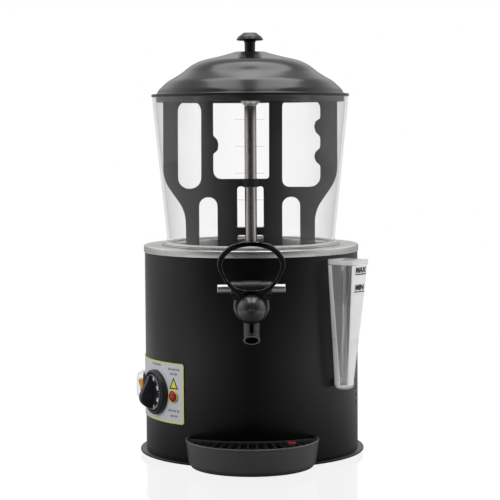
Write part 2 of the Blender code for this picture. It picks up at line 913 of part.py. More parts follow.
def make_funnel():
    """A tall clear funnel, lofted from a round foot to a broad rounded mouth."""
    levels = [
        (FUNNEL_BOTTOM, 0.0040),
        (FUNNEL_BOTTOM + 0.0014, 0.0015),
        (FUNNEL_BOTTOM + 0.0045, 0.0),
        (FUNNEL_NECK, 0.0),
        (FUNNEL_TOP - 0.0080, 0.0006),
        (FUNNEL_TOP - 0.0076, 0.0),
        (FUNNEL_TOP, 0.0),
        (FUNNEL_TOP, FUNNEL_WALL),
        (FUNNEL_NECK, FUNNEL_WALL),
        (FUNNEL_BOTTOM + 0.0030, FUNNEL_WALL + 0.0010),
    ]
    bm = bmesh.new()
    rings = []
    for height, inset in levels:
        rings.append([bm.verts.new((x, y, height)) for x, y in funnel_section(height, inset)])
    count = len(rings[0])
    for lower, upper in zip(rings, rings[1:]):
        for k in range(count):
            after = (k + 1) % count
            bm.faces.new((lower[k], lower[after], upper[after], upper[k]))
    bm.faces.new(list(reversed(rings[0])))
    bm.faces.new(rings[-1])
    bmesh.ops.remove_doubles(bm, verts=bm.verts, dist=0.000001)
    funnel = finish_mesh("fill_funnel", bm, CLEAR)
    place = station("funnel place", FUNNEL_AZIMUTH, 0.0)
    hole = rod("funnel outlet", (0, -0.1525, INLET_Z), (0, -0.1400, INLET_Z), 0.0063, sides=16)
    cut(funnel, hole)
    spigot = turned(
        "inlet_spigot",
        [(0.0060, 0.1520), (0.0060, 0.1262), (0.0045, 0.1262), (0.0045, 0.1520)],
        STEEL,
        16,
    )
    spigot.location = (0.0, 0.0, INLET_Z)
    spigot.rotation_euler = (math.pi / 2, 0.0, 0.0)
    spigot.parent = place
    nut, bore = hex_ring("inlet_nut", 0.0190, 0.0063, -0.1365, -0.1423, ZINC, INLET_Z)
    at_station(place, funnel, hole, nut, bore)


# ---------------------------------------------------------------- controls
def make_label():
    """The curved control label, with holes for the dial, the lamp and the switch."""
    steps = 13
    bm = bmesh.new()
    corners = []
    for k in range(steps + 1):
        angle = LABEL_FROM + (LABEL_TO - LABEL_FROM) * k / steps
        across = Vector((-math.sin(angle), -math.cos(angle), 0))
        inner = across * LABEL_IN_R
        outer = across * (LABEL_IN_R + LABEL_PLATE)
        heights = (inner, LABEL_LOW), (outer, LABEL_LOW), (outer, LABEL_HIGH), (inner, LABEL_HIGH)
        corners.append([bm.verts.new((place.x, place.y, z)) for place, z in heights])
    for first, second in zip(corners, corners[1:]):
        for k in range(4):
            after = (k + 1) % 4
            bm.faces.new((first[k], first[after], second[after], second[k]))
    bm.faces.new(corners[0])
    bm.faces.new(list(reversed(corners[-1])))
    label = finish_mesh("control_label", bm, LABEL_FILM)
    for name, azimuth, height, radius in (
        ("label dial hole", DIAL_AZIMUTH, DIAL_Z, 0.0065),
        ("label lamp hole", LAMP_AZIMUTH, LAMP_Z, 0.0078),
    ):
        hole = rod(name, (0, -0.130, 0), (0, -0.160, 0), radius, sides=TINY_SIDES)
        at_station(station(name + " place", azimuth, height), hole)
        cut(label, hole)
    window = block("label switch hole", (-0.0112, -0.160, -0.0140), (0.0112, -0.130, 0.0140))
    at_station(station("label switch place", SWITCH_AZIMUTH, SWITCH_Z), window)
    cut(label, window)


def make_lamp():
    place = station("lamp place", LAMP_AZIMUTH, LAMP_Z)
    bezel = ring("lamp_bezel", 0.0083, 0.0075, 0.1464, 0.1480, YELLOW, SMALL_SIDES)
    lens = turned(
        "lamp_lens",
        [
            (0.0, 0.1502),
            (0.0035, 0.1498),
            (0.0060, 0.1488),
            (0.0072, 0.1472),
            (0.0072, 0.1380),
            (0.0, 0.1380),
        ],
        RED_LENS,
        SMALL_SIDES,
        closed=False,
    )
    facing_out(place, bezel, lens)


def make_thermostat():
    place = station("thermostat place", DIAL_AZIMUTH, DIAL_Z)
    bore = DIAL_R - 0.0045
    bezel = turned(
        "thermostat_bezel",
        [
            (bore + 0.0020, 0.1525),
            (DIAL_R - 0.0008, 0.1512),
            (DIAL_R, 0.1500),
            (DIAL_R, 0.1380),
            (bore, 0.1380),
            (bore, 0.1518),
        ],
        BLACK_PLASTIC,
        SMALL_SIDES,
    )
    core = rod("label core", (0, 0, 0), (0, 0, 0.2), 0.1464, sides=72)
    cut(bezel, core)
    body = turned(
        "thermostat_body",
        [
            (0.0, 0.1520),
            (0.0030, 0.1520),
            (0.0030, 0.1410),
            (0.0170, 0.1410),
            (0.0170, 0.1312),
            (0.0, 0.1312),
        ],
        BLACK_PLASTIC,
        SMALL_SIDES,
        closed=False,
    )
    skirt_top = 0.1532
    knob = turned(
        "thermostat_knob",
        [
            (0.0, skirt_top),
            (0.0235, skirt_top),
            (0.0248, 0.1520),
            (0.0248, 0.1482),
            (0.0034, 0.1482),
            (0.0034, 0.1525),
            (0.0, 0.1525),
        ],
        BLACK_PLASTIC,
        SMALL_SIDES,
        closed=False,
    )
    grip = dial_grip(skirt_top - 0.0005, 0.1690)
    fuse(knob, grip)
    facing_out(place, bezel, body, knob, grip)


def dial_grip(low, high):
    """A pointer grip: a teardrop bar that rises from its tip to its round end."""
    outline = rounded([(0.0, 0.0235, 0.0004), (0.0105, -0.0215, 0.006), (-0.0105, -0.0215, 0.006)], 4)
    bm = plate_mesh([outline], high - low)
    bm.transform(Matrix.Rotation(-math.pi / 2, 4, "X"))
    bm.transform(Matrix.Translation((0, 0, (low + high) / 2)))
    geometry = [*bm.verts, *bm.edges, *bm.faces]
    slope = Vector((0.0, high - low - 0.002, 0.0300)).normalized()
    bmesh.ops.bisect_plane(
        bm, geom=geometry, plane_co=(0, 0.0230, low + 0.002), plane_no=slope, clear_outer=True
    )
    bmesh.ops.holes_fill(bm, edges=bm.edges, sides=0)
    return finish_mesh("grip", bm, None, helper=True)


def make_switch():
    place = station("switch place", SWITCH_AZIMUTH, SWITCH_Z)
    housing = block("rocker_housing", (-0.0125, -0.1488, -0.0165), (0.0125, -0.1464, 0.0165), BLACK_PLASTIC)
    body = block("switch body", (-0.0103, -0.1480, -0.0133), (0.0103, -0.1316, 0.0133))
    cavity = block("switch cavity", (-0.0086, -0.1500, -0.0115), (0.0086, -0.1334, 0.0115))
    fuse(housing, body)
    cut(housing, cavity)
    cover = block("switch_cover", (-0.0150, -0.1578, -0.0185), (0.0150, -0.1465, 0.0185), CLEAR, 0.0025)
    hollow = block("cover hollow", (-0.0138, -0.1566, -0.0173), (0.0138, -0.1400, 0.0173))
    cut(cover, hollow)
    at_station(place, housing, body, cavity, cover, hollow)
    pivot = bpy.data.objects.new("rocker pivot", None)
    PARTS.objects.link(pivot)
    pivot.location = (0.0, -0.1405, 0.0)
    pivot.rotation_euler = (ROCKER_TILT, 0.0, 0.0)
    pivot.parent = place
    lever = block("rocker_lever", (-0.0080, -0.0140, -0.0096), (0.0080, 0.0040, 0.0096), ORANGE, 0.0008)
    lever.parent = pivot


# ---------------------------------------------------------------- tap
def make_tap_body():
    back = -0.1476
    front = -TAP_FRONT
    body = rod("tap_body", (0, back, TAP_Z), (0, front, TAP_Z), TAP_R, BLACK_PLASTIC)
    tail = rod("tap tail", (0, back - 0.003, TAP_Z), (0, -0.1334, TAP_Z), 0.0130)
    additions = [tail]
    for side in (-1, 1):
        near = side * (HUB_HALF + GAP)
        far = side * 0.0260
        additions.append(
            rod(f"ear {side}", (near, -PIN_OUT, PIN_Z), (far, -PIN_OUT, PIN_Z), HUB_R)
        )
        additions.append(
            block(
                f"ear root {side}",
                (min(near, far) + 0.0005, -0.1840, 0.2220),
                (max(near, far) - 0.0005, -0.1600, PIN_Z + 0.0020),
            )
        )
    fuse(body, *additions)
    cut(
        body,
        rod("outlet bore", (0, -SPOUT_OUT, TAP_Z), (0, -SPOUT_OUT, 0.1500), SPOUT_BORE_R),
        rod("valve chamber", (0, -0.1530, TAP_Z), (0, -0.1740, TAP_Z), 0.0125),
        rod("inlet bore", (0, -0.1200, TAP_Z), (0, -0.1500, TAP_Z), 0.0110),
        rod("seat bore", (0, -0.1450, TAP_Z), (0, -0.1600, TAP_Z), 0.0075),
        rod("stem bore", (0, -0.1700, TAP_Z), (0, -0.1900, TAP_Z), 0.0049),
        rod("pin bore", (-0.040, -PIN_OUT, PIN_Z), (0.040, -PIN_OUT, PIN_Z), PIN_R + GAP),
        rod("hub room", (-0.0126, -PIN_OUT, PIN_Z), (0.0126, -PIN_OUT, PIN_Z), HUB_R + 0.0008),
    )


def make_tap_spout():
    """A nozzle sleeve whose top is cut to fit under the tap's round body."""
    spout = rod(
        "tap_spout",
        (0, -SPOUT_OUT, TAP_Z),
        (0, -SPOUT_OUT, SPOUT_TIP),
        SPOUT_R,
        BLACK_PLASTIC,
    )
    tip = block("spout tip cut", (-0.02, -0.0300, -0.02), (0.02, 0.0, 0.02))
    tip.location = (0.0, -SPOUT_OUT - SPOUT_R + 0.004, SPOUT_TIP - 0.0060)
    tip.rotation_euler = (math.radians(-35), 0.0, 0.0)
    cut(
        spout,
        tip,
        rod("spout bore", (0, -SPOUT_OUT, TAP_Z), (0, -SPOUT_OUT, 0.1500), SPOUT_BORE_R),
        rod("body room", (0, -0.1400, TAP_Z), (0, -0.1900, TAP_Z), TAP_R + GAP),
    )


def make_tap_fittings():
    gasket = ring("tap_gasket", 0.0228, 0.0137, 0.1454, 0.1473, RUBBER, SMALL_SIDES)
    gasket.rotation_euler = (math.pi / 2, 0.0, 0.0)
    gasket.location = (0.0, 0.0, TAP_Z)
    hex_ring("tap_nut", 0.0360, 0.0134, -0.1340, -0.1405, BRIGHT_STEEL, TAP_Z)
    edge = 0.0006
    pin = turned(
        "tap_pin",
        [
            (0.0, PIN_HALF),
            (PIN_R - edge, PIN_HALF),
            (PIN_R, PIN_HALF - edge),
            (PIN_R, -PIN_HALF + edge),
            (PIN_R - edge, -PIN_HALF),
            (0.0, -PIN_HALF),
        ],
        BRIGHT_STEEL,
        SMALL_SIDES,
        closed=False,
    )
    pin.rotation_euler = (0.0, math.pi / 2, 0.0)
    pin.location = (0.0, -PIN_OUT, PIN_Z)


def make_plunger():
    """The valve stem with its disc and spring collar, its seal and its spring."""
    tip = BALL_OUT - BALL_R - GAP - 0.0001
    stem_r = 0.0045
    plunger = turned(
        "tap_plunger",
        [
            (0.0, tip),
            (stem_r, tip),
            (stem_r, 0.1680),
            (0.0085, 0.1680),
            (0.0085, 0.1662),
            (stem_r, 0.1662),
            (stem_r, 0.1480),
            (0.0098, 0.1480),
            (0.0098, 0.1455),
            (0.0, 0.1455),
        ],
        BRIGHT_STEEL,
        SMALL_SIDES,
        closed=False,
    )
    seal = ring("tap_seal", 0.0098, 0.0049, 0.1483, 0.1497, RUBBER, SMALL_SIDES)
    for piece in (plunger, seal):
        piece.rotation_euler = (math.pi / 2, 0.0, 0.0)
        piece.location = (0.0, 0.0, TAP_Z)
    coils = 4
    per_turn = 8
    wire = 0.0006
    coil_r = 0.0064
    start = 0.1534 + wire
    length = 0.1658 - wire - start
    points = []
    for k in range(coils * per_turn + 1):
        angle = 2 * math.pi * k / per_turn
        out = start + length * k / (coils * per_turn)
        points.append((coil_r * math.cos(angle), -out, TAP_Z + coil_r * math.sin(angle)))
    tube("tap_spring", points, wire, BRIGHT_STEEL, resolution=0)


def handle_loops():
    """Front outline of the loop handle and its finger hole, as (x, z) round the pin's axis."""
    right_out = [
        (0.0, 0.0594),
        (0.0128, 0.0584),
        (0.0249, 0.0557),
        (0.0350, 0.0497),
        (0.0408, 0.0412),
        (0.0425, 0.0330),
        (0.0390, 0.0240),
        (0.0325, 0.0120),
        (0.0150, -0.0090),
    ]
    right_in = [
        (0.0, 0.0526),
        (0.0150, 0.0508),
        (0.0280, 0.0455),
        (0.0355, 0.0380),
        (0.0368, 0.0300),
        (0.0320, 0.0190),
        (0.0240, 0.0085),
        (0.0120, 0.0005),
        (0.0, -0.0004),
    ]
    outer = right_out + [(-x, z) for x, z in reversed(right_out[1:])]
    inner = right_in + [(-x, z) for x, z in reversed(right_in[1:-1])]
    return [outer, inner]


def make_handle():
    """Loop, neck, ball and hub in one piece, hinged on the cross pin."""
    pivot = bpy.data.objects.new("tap pivot", None)
    PARTS.objects.link(pivot)
    pivot.location = (0.0, -PIN_OUT, PIN_Z)
    bar = 0.0065
    bm = plate_mesh(handle_loops(), bar)
    lean = math.radians(8)
    bm.transform(Matrix.Rotation(lean, 4, "X"))
    bm.transform(Matrix.Translation((0.0, -0.0165, 0.0)))
    handle = finish_mesh("tap_handle", bm, BLACK_PLASTIC)
    soften(handle, 0.0016, 1)
    ball_bm = bmesh.new()
    bmesh.ops.create_uvsphere(ball_bm, u_segments=20, v_segments=10, radius=BALL_R)
    ball_bm.transform(Matrix.Rotation(math.pi / 2, 4, "X"))
    ball = finish_mesh("ball", ball_bm, None, helper=True)
    ball.location = (0.0, PIN_OUT - BALL_OUT, BALL_Z - PIN_Z)
    hub = rod("handle hub", (-HUB_HALF, 0, 0), (HUB_HALF, 0, 0), HUB_R)
    arm = block("handle arm", (-0.0085, -0.0060, -0.0260), (0.0085, 0.0050, 0.0))
    arm.rotation_euler = (-math.radians(39), 0.0, 0.0)
    neck = block("handle neck", (-0.0140, -0.0200, -0.0120), (0.0140, -0.0130, 0.0))
    neck.rotation_euler = (math.radians(8), 0.0, 0.0)
    bore = rod("handle bore", (-0.020, 0, 0), (0.020, 0, 0), PIN_R + GAP)
    fuse(handle, ball, hub, arm, neck)
    cut(handle, bore)
    for piece in (handle, ball, hub, arm, neck, bore):
        piece.parent = pivot


# ---------------------------------------------------------------- drip tray
def make_tray():
    profile = [
        (0.0, TRAY_RIM),
        (TRAY_R, TRAY_RIM),
        (TRAY_R, TRAY_RIM - 0.0025),
        (TRAY_R - 0.0035, 0.0075),
        (TRAY_R - 0.0085, TRAY_BOTTOM),
        (0.0, TRAY_BOTTOM),
    ]
    tray = turned("drip_tray", profile, BLACK_PLASTIC, closed=False)
    tray.location = (0.0, -TRAY_OUT, 0.0)
    wall = 0.0025
    hollow = turned(
        "tray hollow",
        [
            (0.0, 0.0500),
            (TRAY_R - wall, 0.0500),
            (TRAY_R - wall, TRAY_RIM - 0.0030),
            (TRAY_R - 0.0035 - wall, 0.0090),
            (TRAY_R - 0.0055 - wall, 0.0070),
            (0.0, 0.0070),
        ],
        None,
        closed=False,
        helper=True,
    )
    hollow.location = (0.0, -TRAY_OUT, 0.0)
    back_wall = rod("tray back wall", (0, 0, 0.0), (0, 0, 0.0600), TRAY_BACK_R + 0.0022, sides=72)
    cut(hollow, back_wall)
    body_room = rod("body room", (0, 0, -0.0100), (0, 0, 0.0600), TRAY_BACK_R, sides=72)
    flange_room = rod("flange room", (0, 0, -0.0100), (0, 0, FLANGE_TOP + 0.0012), 0.1545, sides=72)
    cut(tray, hollow, body_room, flange_room)
    for number, x in enumerate((-0.0400, 0.0400)):
        rib = block(f"grate rest {number}", (x - 0.001, -0.2000, 0.0050), (x + 0.001, -0.1560, 0.0290))
        fuse(tray, rib)
    block("tray_bracket", (-0.0300, -0.1900, -0.0020), (0.0300, -0.1150, -0.0003), ZINC)


def make_grate():
    """A half-moon grate with slots that run outward from the back."""
    low = 0.0300
    half_deep = TRAY_R - 0.0032
    grate = rod("drip_grate", (0, -TRAY_OUT, low), (0, -TRAY_OUT, GRATE_TOP), half_deep, BLACK_PLASTIC, SIDES)
    room = rod("grate back room", (0, 0, 0.0), (0, 0, 0.0600), TRAY_BACK_R + 0.0028, sides=72)
    cut(grate, room)
    slots = 11
    spread = math.radians(6)
    bm = bmesh.new()
    for k in range(slots):
        turn = (k - (slots - 1) / 2) * spread
        place = Matrix.Rotation(turn, 4, "Z") @ Matrix.Translation((0, -0.1830, 0.0320))
        reach = 0.0500 * math.cos(turn * 2.1)
        bmesh.ops.create_cube(bm, size=1.0, matrix=place @ Matrix.Diagonal((0.0052, reach, 0.02, 1.0)))
    slot_cutter = finish_mesh("grate slots", bm, None, helper=True, smooth=False)
    pad = rod("float pad", (0.0510, -0.1550, low), (0.0510, -0.1550, GRATE_TOP), 0.0090)
    float_hole = rod("float hole", (0.0510, -0.1550, 0.020), (0.0510, -0.1550, 0.040), 0.0058)
    cut(grate, slot_cutter)
    fuse(grate, pad)
    cut(grate, float_hole)
    red = turned(
        "tray_float",
        [
            (0.0, 0.0362),
            (0.0046, 0.0362),
            (0.0052, 0.0356),
            (0.0052, 0.0180),
            (0.0090, 0.0180),
            (0.0090, 0.0090),
            (0.0, 0.0090),
        ],
        RED_PLASTIC,
        SMALL_SIDES,
        closed=False,
    )
    red.location = (0.0510, -0.1550, 0.0)


def make_screws():
    for number in range(3):
        place = station(f"screw place {number}", SCREW_AZIMUTH + 60 * number, 0.0110)
        screw = turned(
            f"base_screw_{number + 1}",
            [
                (0.0, 0.1478),
                (0.0022, 0.1475),
                (0.0038, 0.1462),
                (0.0038, 0.1454),
                (0.0020, 0.1454),
                (0.0020, 0.1425),
                (0.0, 0.1425),
            ],
            ZINC,
            TINY_SIDES,
            closed=False,
        )
        facing_out(place, screw)


def main():
    make_base_pan()
    make_feet()
    make_body_shell()
    make_deck_ring()
    make_pot()
    make_tank()
    make_bowl()
    make_lid()
    make_paddle()
    make_drive()
    make_heating()
    make_drain()
    make_funnel()
    make_label()
    make_lamp()
    make_thermostat()
    make_switch()
    make_tap_body()
    make_tap_spout()
    make_tap_fittings()
    make_plunger()
    make_handle()
    make_tray()
    make_grate()
    make_screws()


main()
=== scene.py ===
"""Looks of the hot drink dispenser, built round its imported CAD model."""

import math

import bmesh
import bpy
from mathutils import Matrix, Vector


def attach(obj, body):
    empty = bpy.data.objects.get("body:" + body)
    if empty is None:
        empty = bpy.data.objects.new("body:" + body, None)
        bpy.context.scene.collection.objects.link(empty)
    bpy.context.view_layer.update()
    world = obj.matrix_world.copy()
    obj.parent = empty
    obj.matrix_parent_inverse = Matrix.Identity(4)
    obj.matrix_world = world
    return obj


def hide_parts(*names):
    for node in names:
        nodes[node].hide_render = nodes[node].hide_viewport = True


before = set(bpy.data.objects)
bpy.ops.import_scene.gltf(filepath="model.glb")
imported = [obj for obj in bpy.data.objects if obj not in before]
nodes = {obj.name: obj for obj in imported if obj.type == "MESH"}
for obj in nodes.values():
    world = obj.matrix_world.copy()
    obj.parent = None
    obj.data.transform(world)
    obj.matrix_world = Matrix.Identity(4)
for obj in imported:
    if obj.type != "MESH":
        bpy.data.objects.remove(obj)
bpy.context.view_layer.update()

# Lengths are in metres. A place on the body is (degrees to the left of the front, height).
FLOOR = -0.005
QUARTERS = ((-1, -1), (1, -1), (1, 1), (-1, 1))
DIAL = (61.0, 0.0887)
LAMP = (45.0, 0.087)
SWITCH = (88.0, 0.089)
SCREWS = tuple((116.25 + 60 * k, 0.0110) for k in range(3))
VENTS = tuple((-76.0 - 8.0 * k, 0.0680 + 0.0100 * row) for k in range(4) for row in range(4))
TAP_HEIGHT = 0.2135
SPOUT_Y = -0.166
PIVOT = (0.0, -0.185, 0.2366)
PIN_BORE = 0.00615
BALL_R = 0.0186
BALL_FROM_PIVOT = (0.0, -0.0200, -0.0246)
FUNNEL_AZIMUTH = -48.7
SPIGOT_HEIGHT = 0.1045
GLAND = (0.0, 0.040)
DRAIN = (0.060, 0.045)
FLOAT_X, FLOAT_Y = 0.0510, -0.1550


# ---------------------------------------------------------------- material building
def new_material(name):
    made = bpy.data.materials.new(name)
    made.use_nodes = True
    return made, made.node_tree, made.node_tree.nodes["Principled BSDF"]


def fill(made, **values):
    """Sets a node's inputs by name, with an underscore for each space."""
    for name, value in values.items():
        made.inputs[name.replace("_", " ")].default_value = value
    return made


def node(tree, kind, **values):
    """A new shader node with some of its inputs set."""
    return fill(tree.nodes.new("ShaderNode" + kind), **values)


def compute(tree, kind, operation, *sources):
    """The outputs of a math node whose inputs are linked sockets or plain numbers."""
    made = node(tree, kind)
    made.operation = operation
    for socket, source in zip(made.inputs, sources):
        if isinstance(source, float):
            socket.default_value = source
        else:
            tree.links.new(source, socket)
    return made.outputs


def mixed(tree, share, first, second):
    """The first shader where share is 0, the second where it is 1."""
    made = node(tree, "MixShader")
    for socket, source in zip(made.inputs, (share, first, second)):
        tree.links.new(source, socket)
    return made.outputs["Shader"]


def position(tree, scale=(1.0, 1.0, 1.0)):
    """Object coordinates, stretched by scale."""
    mapping = node(tree, "Mapping", Scale=scale)
    tree.links.new(node(tree, "TexCoord").outputs["Object"], mapping.inputs["Vector"])
    return mapping.outputs["Vector"]


def noise(tree, vector, scale, detail=2.0, roughness=0.5):
    made = node(tree, "TexNoise", Scale=scale, Detail=detail, Roughness=roughness)
    tree.links.new(vector, made.inputs["Vector"])
    return made.outputs["Fac"]


def spread(tree, value, low, high):
    """Maps a 0 to 1 value onto low to high."""
    made = node(tree, "MapRange", To_Min=low, To_Max=high)
    tree.links.new(value, made.inputs["Value"])
    return made.outputs["Result"]


def ramp(tree, value, stops):
    """Colours between stops of (value, colour)."""
    made = node(tree, "ValToRGB")
    elements = made.color_ramp.elements
    for place, _ in stops[1:-1]:
        elements.new(place)
    for element, (place, colour) in zip(elements, stops):
        element.position = place
        element.color = (*colour, 1.0)
    tree.links.new(value, made.inputs["Fac"])
    return made.outputs["Color"]


def greys(tree, value, stops):
    """Grey levels between stops of (value, level)."""
    return ramp(tree, value, [(place, (level,) * 3) for place, level in stops])


def tint(tree, value, low, high):
    """A colour between two, by a 0 to 1 value."""
    return ramp(tree, value, [(0.3, low), (0.7, high)])


def bump(tree, shader, height, strength, distance):
    made = node(tree, "Bump", Strength=strength, Distance=distance)
    tree.links.new(height, made.inputs["Height"])
    tree.links.new(made.outputs["Normal"], shader.inputs["Normal"])


def speckled(name, colour, roughness, grain, depth, metallic=0.0, vary=0.06, specular=0.5):
    """A moulded, painted or cast surface: fine grain, uneven gloss and a slight colour drift."""
    made, tree, shader = new_material(name)
    place = position(tree)
    fine = noise(tree, place, grain, 2.0)
    broad = noise(tree, place, 14.0, 3.0)
    darker = tuple(c * (1 - 1.5 * vary) for c in colour)
    lighter = tuple(c * (1 + 1.5 * vary) for c in colour)
    tree.links.new(tint(tree, broad, darker, lighter), shader.inputs["Base Color"])
    uneven = spread(tree, broad, roughness - vary * 0.5, roughness + vary * 0.5)
    tree.links.new(uneven, shader.inputs["Roughness"])
    fill(shader, Metallic=metallic, Specular_IOR_Level=specular)
    bump(tree, shader, fine, 0.35, depth)
    return made


def brushed(name, colour, roughness, stretch, depth=0.00002, vary=0.05):
    """Brushed metal: noise drawn out along the brushing."""
    made, tree, shader = new_material(name)
    strokes = noise(tree, position(tree, stretch), 1.0, 4.0, 0.6)
    broad = noise(tree, position(tree), 20.0, 2.0)
    darker = tuple(c * (1 - 2 * vary) for c in colour)
    lighter = tuple(min(c * (1 + vary), 1.0) for c in colour)
    tree.links.new(tint(tree, strokes, darker, lighter), shader.inputs["Base Color"])
    both = compute(tree, "Math", "MULTIPLY", strokes, broad)["Value"]
    uneven = spread(tree, both, roughness - 0.06, roughness + 0.14)
    tree.links.new(uneven, shader.inputs["Roughness"])
    fill(shader, Metallic=1.0)
    bump(tree, shader, strokes, 0.3, depth)
    return made


def clear(name, facing, grazing, haze_and_highlight, haze_and_highlight_colour=(0.9, 0.9, 0.9), roughness=0.05):
    """Clear plastic in a thin wall: see-through face on, glossy at a glancing view. Its milky haze is
    real haze on most pieces and a painted highlight on the funnel's foot, rim and strips.
    """
    made, tree, shader = new_material(name)
    fill(shader, Base_Color=(*haze_and_highlight_colour, 1.0), Roughness=0.3)
    smear = noise(tree, position(tree), 30.0)
    gloss = node(tree, "BsdfGlossy")
    uneven = spread(tree, smear, roughness * 0.6, roughness * 1.6)
    tree.links.new(uneven, gloss.inputs["Roughness"])
    through = node(tree, "BsdfTransparent").outputs["BSDF"]
    facing_away = node(tree, "LayerWeight", Blend=0.35).outputs["Facing"]
    shine = spread(tree, facing_away, facing, grazing)
    bare = mixed(tree, shine, through, gloss.outputs["BSDF"])
    cloud = spread(tree, smear, haze_and_highlight * 0.85, haze_and_highlight * 1.15)
    hazy = mixed(tree, cloud, bare, shader.outputs["BSDF"])
    tree.links.new(hazy, tree.nodes["Material Output"].inputs["Surface"])
    return made


POWDER = speckled("powder coat", (0.0010, 0.0010, 0.0011), 0.30, 1700.0, 0.00005, specular=0.45)
PLASTIC = speckled("moulded plastic", (0.006, 0.006, 0.0065), 0.30, 2400.0, 0.00003)
TAP_PLASTIC = speckled("tap plastic", (0.014, 0.014, 0.015), 0.26, 2400.0, 0.00002, specular=0.9)
# Painted shade: a dull black, darker and less glossy than the tap's plastic, for the spout's groove and
# bore.
BORE_PAINTED_SHADE = speckled("painted bore shade", (0.0006, 0.0006, 0.0006), 0.6, 2400.0, 0.00002, specular=0.05)
BALL_PLASTIC = speckled("ball plastic", (0.014, 0.014, 0.015), 0.22, 2400.0, 0.00002, specular=1.0)
# Painted highlight: a light grey for the tap handle's bevelled edges and the spout's cut tip, standing
# in for the light those black edges catch.
PAINTED_HIGHLIGHT_PLASTIC = speckled("painted edge highlight", (0.38, 0.38, 0.385), 0.30, 2400.0, 0.00001, specular=1.0)
LOOP_PLASTIC = speckled("loop plastic", (0.001, 0.001, 0.0012), 0.14, 2400.0, 0.00001, specular=0.4)
DIAL_PLASTIC = speckled("dial plastic", (0.012, 0.0125, 0.015), 0.34, 2400.0, 0.00002)
GRATE_PLASTIC = speckled("grate plastic", (0.014, 0.014, 0.014), 0.30, 2000.0, 0.00003, specular=0.6)
TRAY_PLASTIC = speckled("tray plastic", (0.050, 0.050, 0.051), 0.34, 2000.0, 0.00004, specular=1.0)
LID_PLASTIC = speckled("lid plastic", (0.008, 0.008, 0.0085), 0.20, 2200.0, 0.00002)
PADDLE_PLASTIC = speckled(
    "paddle plastic", (0.0015, 0.0015, 0.0026), 0.32, 2200.0, 0.00003, specular=0.4
)
BRIGHT = brushed("bright steel", (0.74, 0.73, 0.71), 0.16, (60.0, 60.0, 900.0))
DECK = brushed("brushed deck", (0.78, 0.77, 0.75), 0.30, (40.0, 40.0, 700.0))
TUBE_STEEL = brushed("tube steel", (0.84, 0.80, 0.76), 0.26, (700.0, 700.0, 20.0))
STEEL = brushed("pressed steel", (0.62, 0.61, 0.60), 0.28, (50.0, 50.0, 500.0))
ZINC = speckled("zinc plate", (0.55, 0.56, 0.58), 0.38, 900.0, 0.00003, metallic=1.0, vary=0.1)
RUBBER = speckled("rubber", (0.022, 0.022, 0.022), 0.75, 1500.0, 0.00006)
SILICONE = speckled("silicone", (0.62, 0.62, 0.61), 0.45, 1500.0, 0.00002)
HEATED = brushed("element sheath", (0.34, 0.27, 0.22), 0.40, (200.0, 200.0, 200.0))
BOWL_CLEAR = clear("bowl polycarbonate", 0.012, 0.28, 0.004)
MARK_CLEAR = clear("moulded marks", 0.02, 0.3, 0.30, (0.5, 0.5, 0.5), 0.3)
FUNNEL_CLEAR = clear("funnel polycarbonate", 0.045, 0.5, 0.03)
# Painted highlights on the clear funnel: milky bands, lighter than its own plastic, for its thick foot,
# its near corner, its face and edge strips and its rim.
FOOT_HIGHLIGHT_CLEAR = clear("funnel foot painted highlight", 0.10, 0.6, 0.55)
CORNER_HIGHLIGHT_CLEAR = clear("funnel corner painted highlight", 0.10, 0.6, 0.16)
EDGE_HIGHLIGHT_CLEAR = clear("funnel painted highlight", 0.06, 0.5, 0.66, (0.95, 0.95, 0.95), 0.3)
RIM_HIGHLIGHT_CLEAR = clear("funnel rim painted highlight", 0.10, 0.6, 0.34, (0.95, 0.95, 0.95), 0.15)
COVER_CLEAR = clear("cover silicone", 0.025, 0.3, 0.02, roughness=0.12)
FILM = speckled("label film", (0.50, 0.515, 0.54), 0.42, 1800.0, 0.00001, vary=0.02)
INK = speckled("dark ink", (0.02, 0.02, 0.02), 0.5, 1500.0, 0.00001)
GREY_INK = speckled("grey ink", (0.20, 0.205, 0.215), 0.5, 1500.0, 0.00001)
WHITE_INK = speckled("white ink", (0.75, 0.75, 0.76), 0.5, 1500.0, 0.00001)
YELLOW_INK = speckled("yellow ink", (0.62, 0.58, 0.02), 0.45, 1500.0, 0.00001)
RED_LENS = speckled("red lens", (0.24, 0.006, 0.010), 0.14, 500.0, 0.00003, specular=0.7)
RING_YELLOW = speckled("lamp ring", (0.70, 0.58, 0.03), 0.3, 1500.0, 0.00001)
ORANGE = speckled("orange rocker", (1.0, 0.43, 0.0), 0.30, 1500.0, 0.00001)
FLOAT_RED = speckled("red float", (0.28, 0.012, 0.022), 0.35, 1500.0, 0.00002)


# ---------------------------------------------------------------- shape building
ON_AXIS = 1e-7


def moved(x, y, z):
    return Matrix.Translation((x, y, z))


def spun(degrees, axis):
    return Matrix.Rotation(math.radians(degrees), 4, axis)


def finish_piece(name, bm, material, sharp=32.0):
    bmesh.ops.recalc_face_normals(bm, faces=bm.faces)
    if bm.calc_volume(signed=True) < 0:
        bmesh.ops.reverse_faces(bm, faces=bm.faces)
    mesh = bpy.data.meshes.new(name)
    bm.to_mesh(mesh)
    bm.free()
    mesh.materials.append(material)
    mesh.shade_smooth()
    mesh.set_sharp_from_angle(angle=math.radians(sharp))
    made = bpy.data.objects.new(name, mesh)
    bpy.context.scene.collection.objects.link(made)
    return made


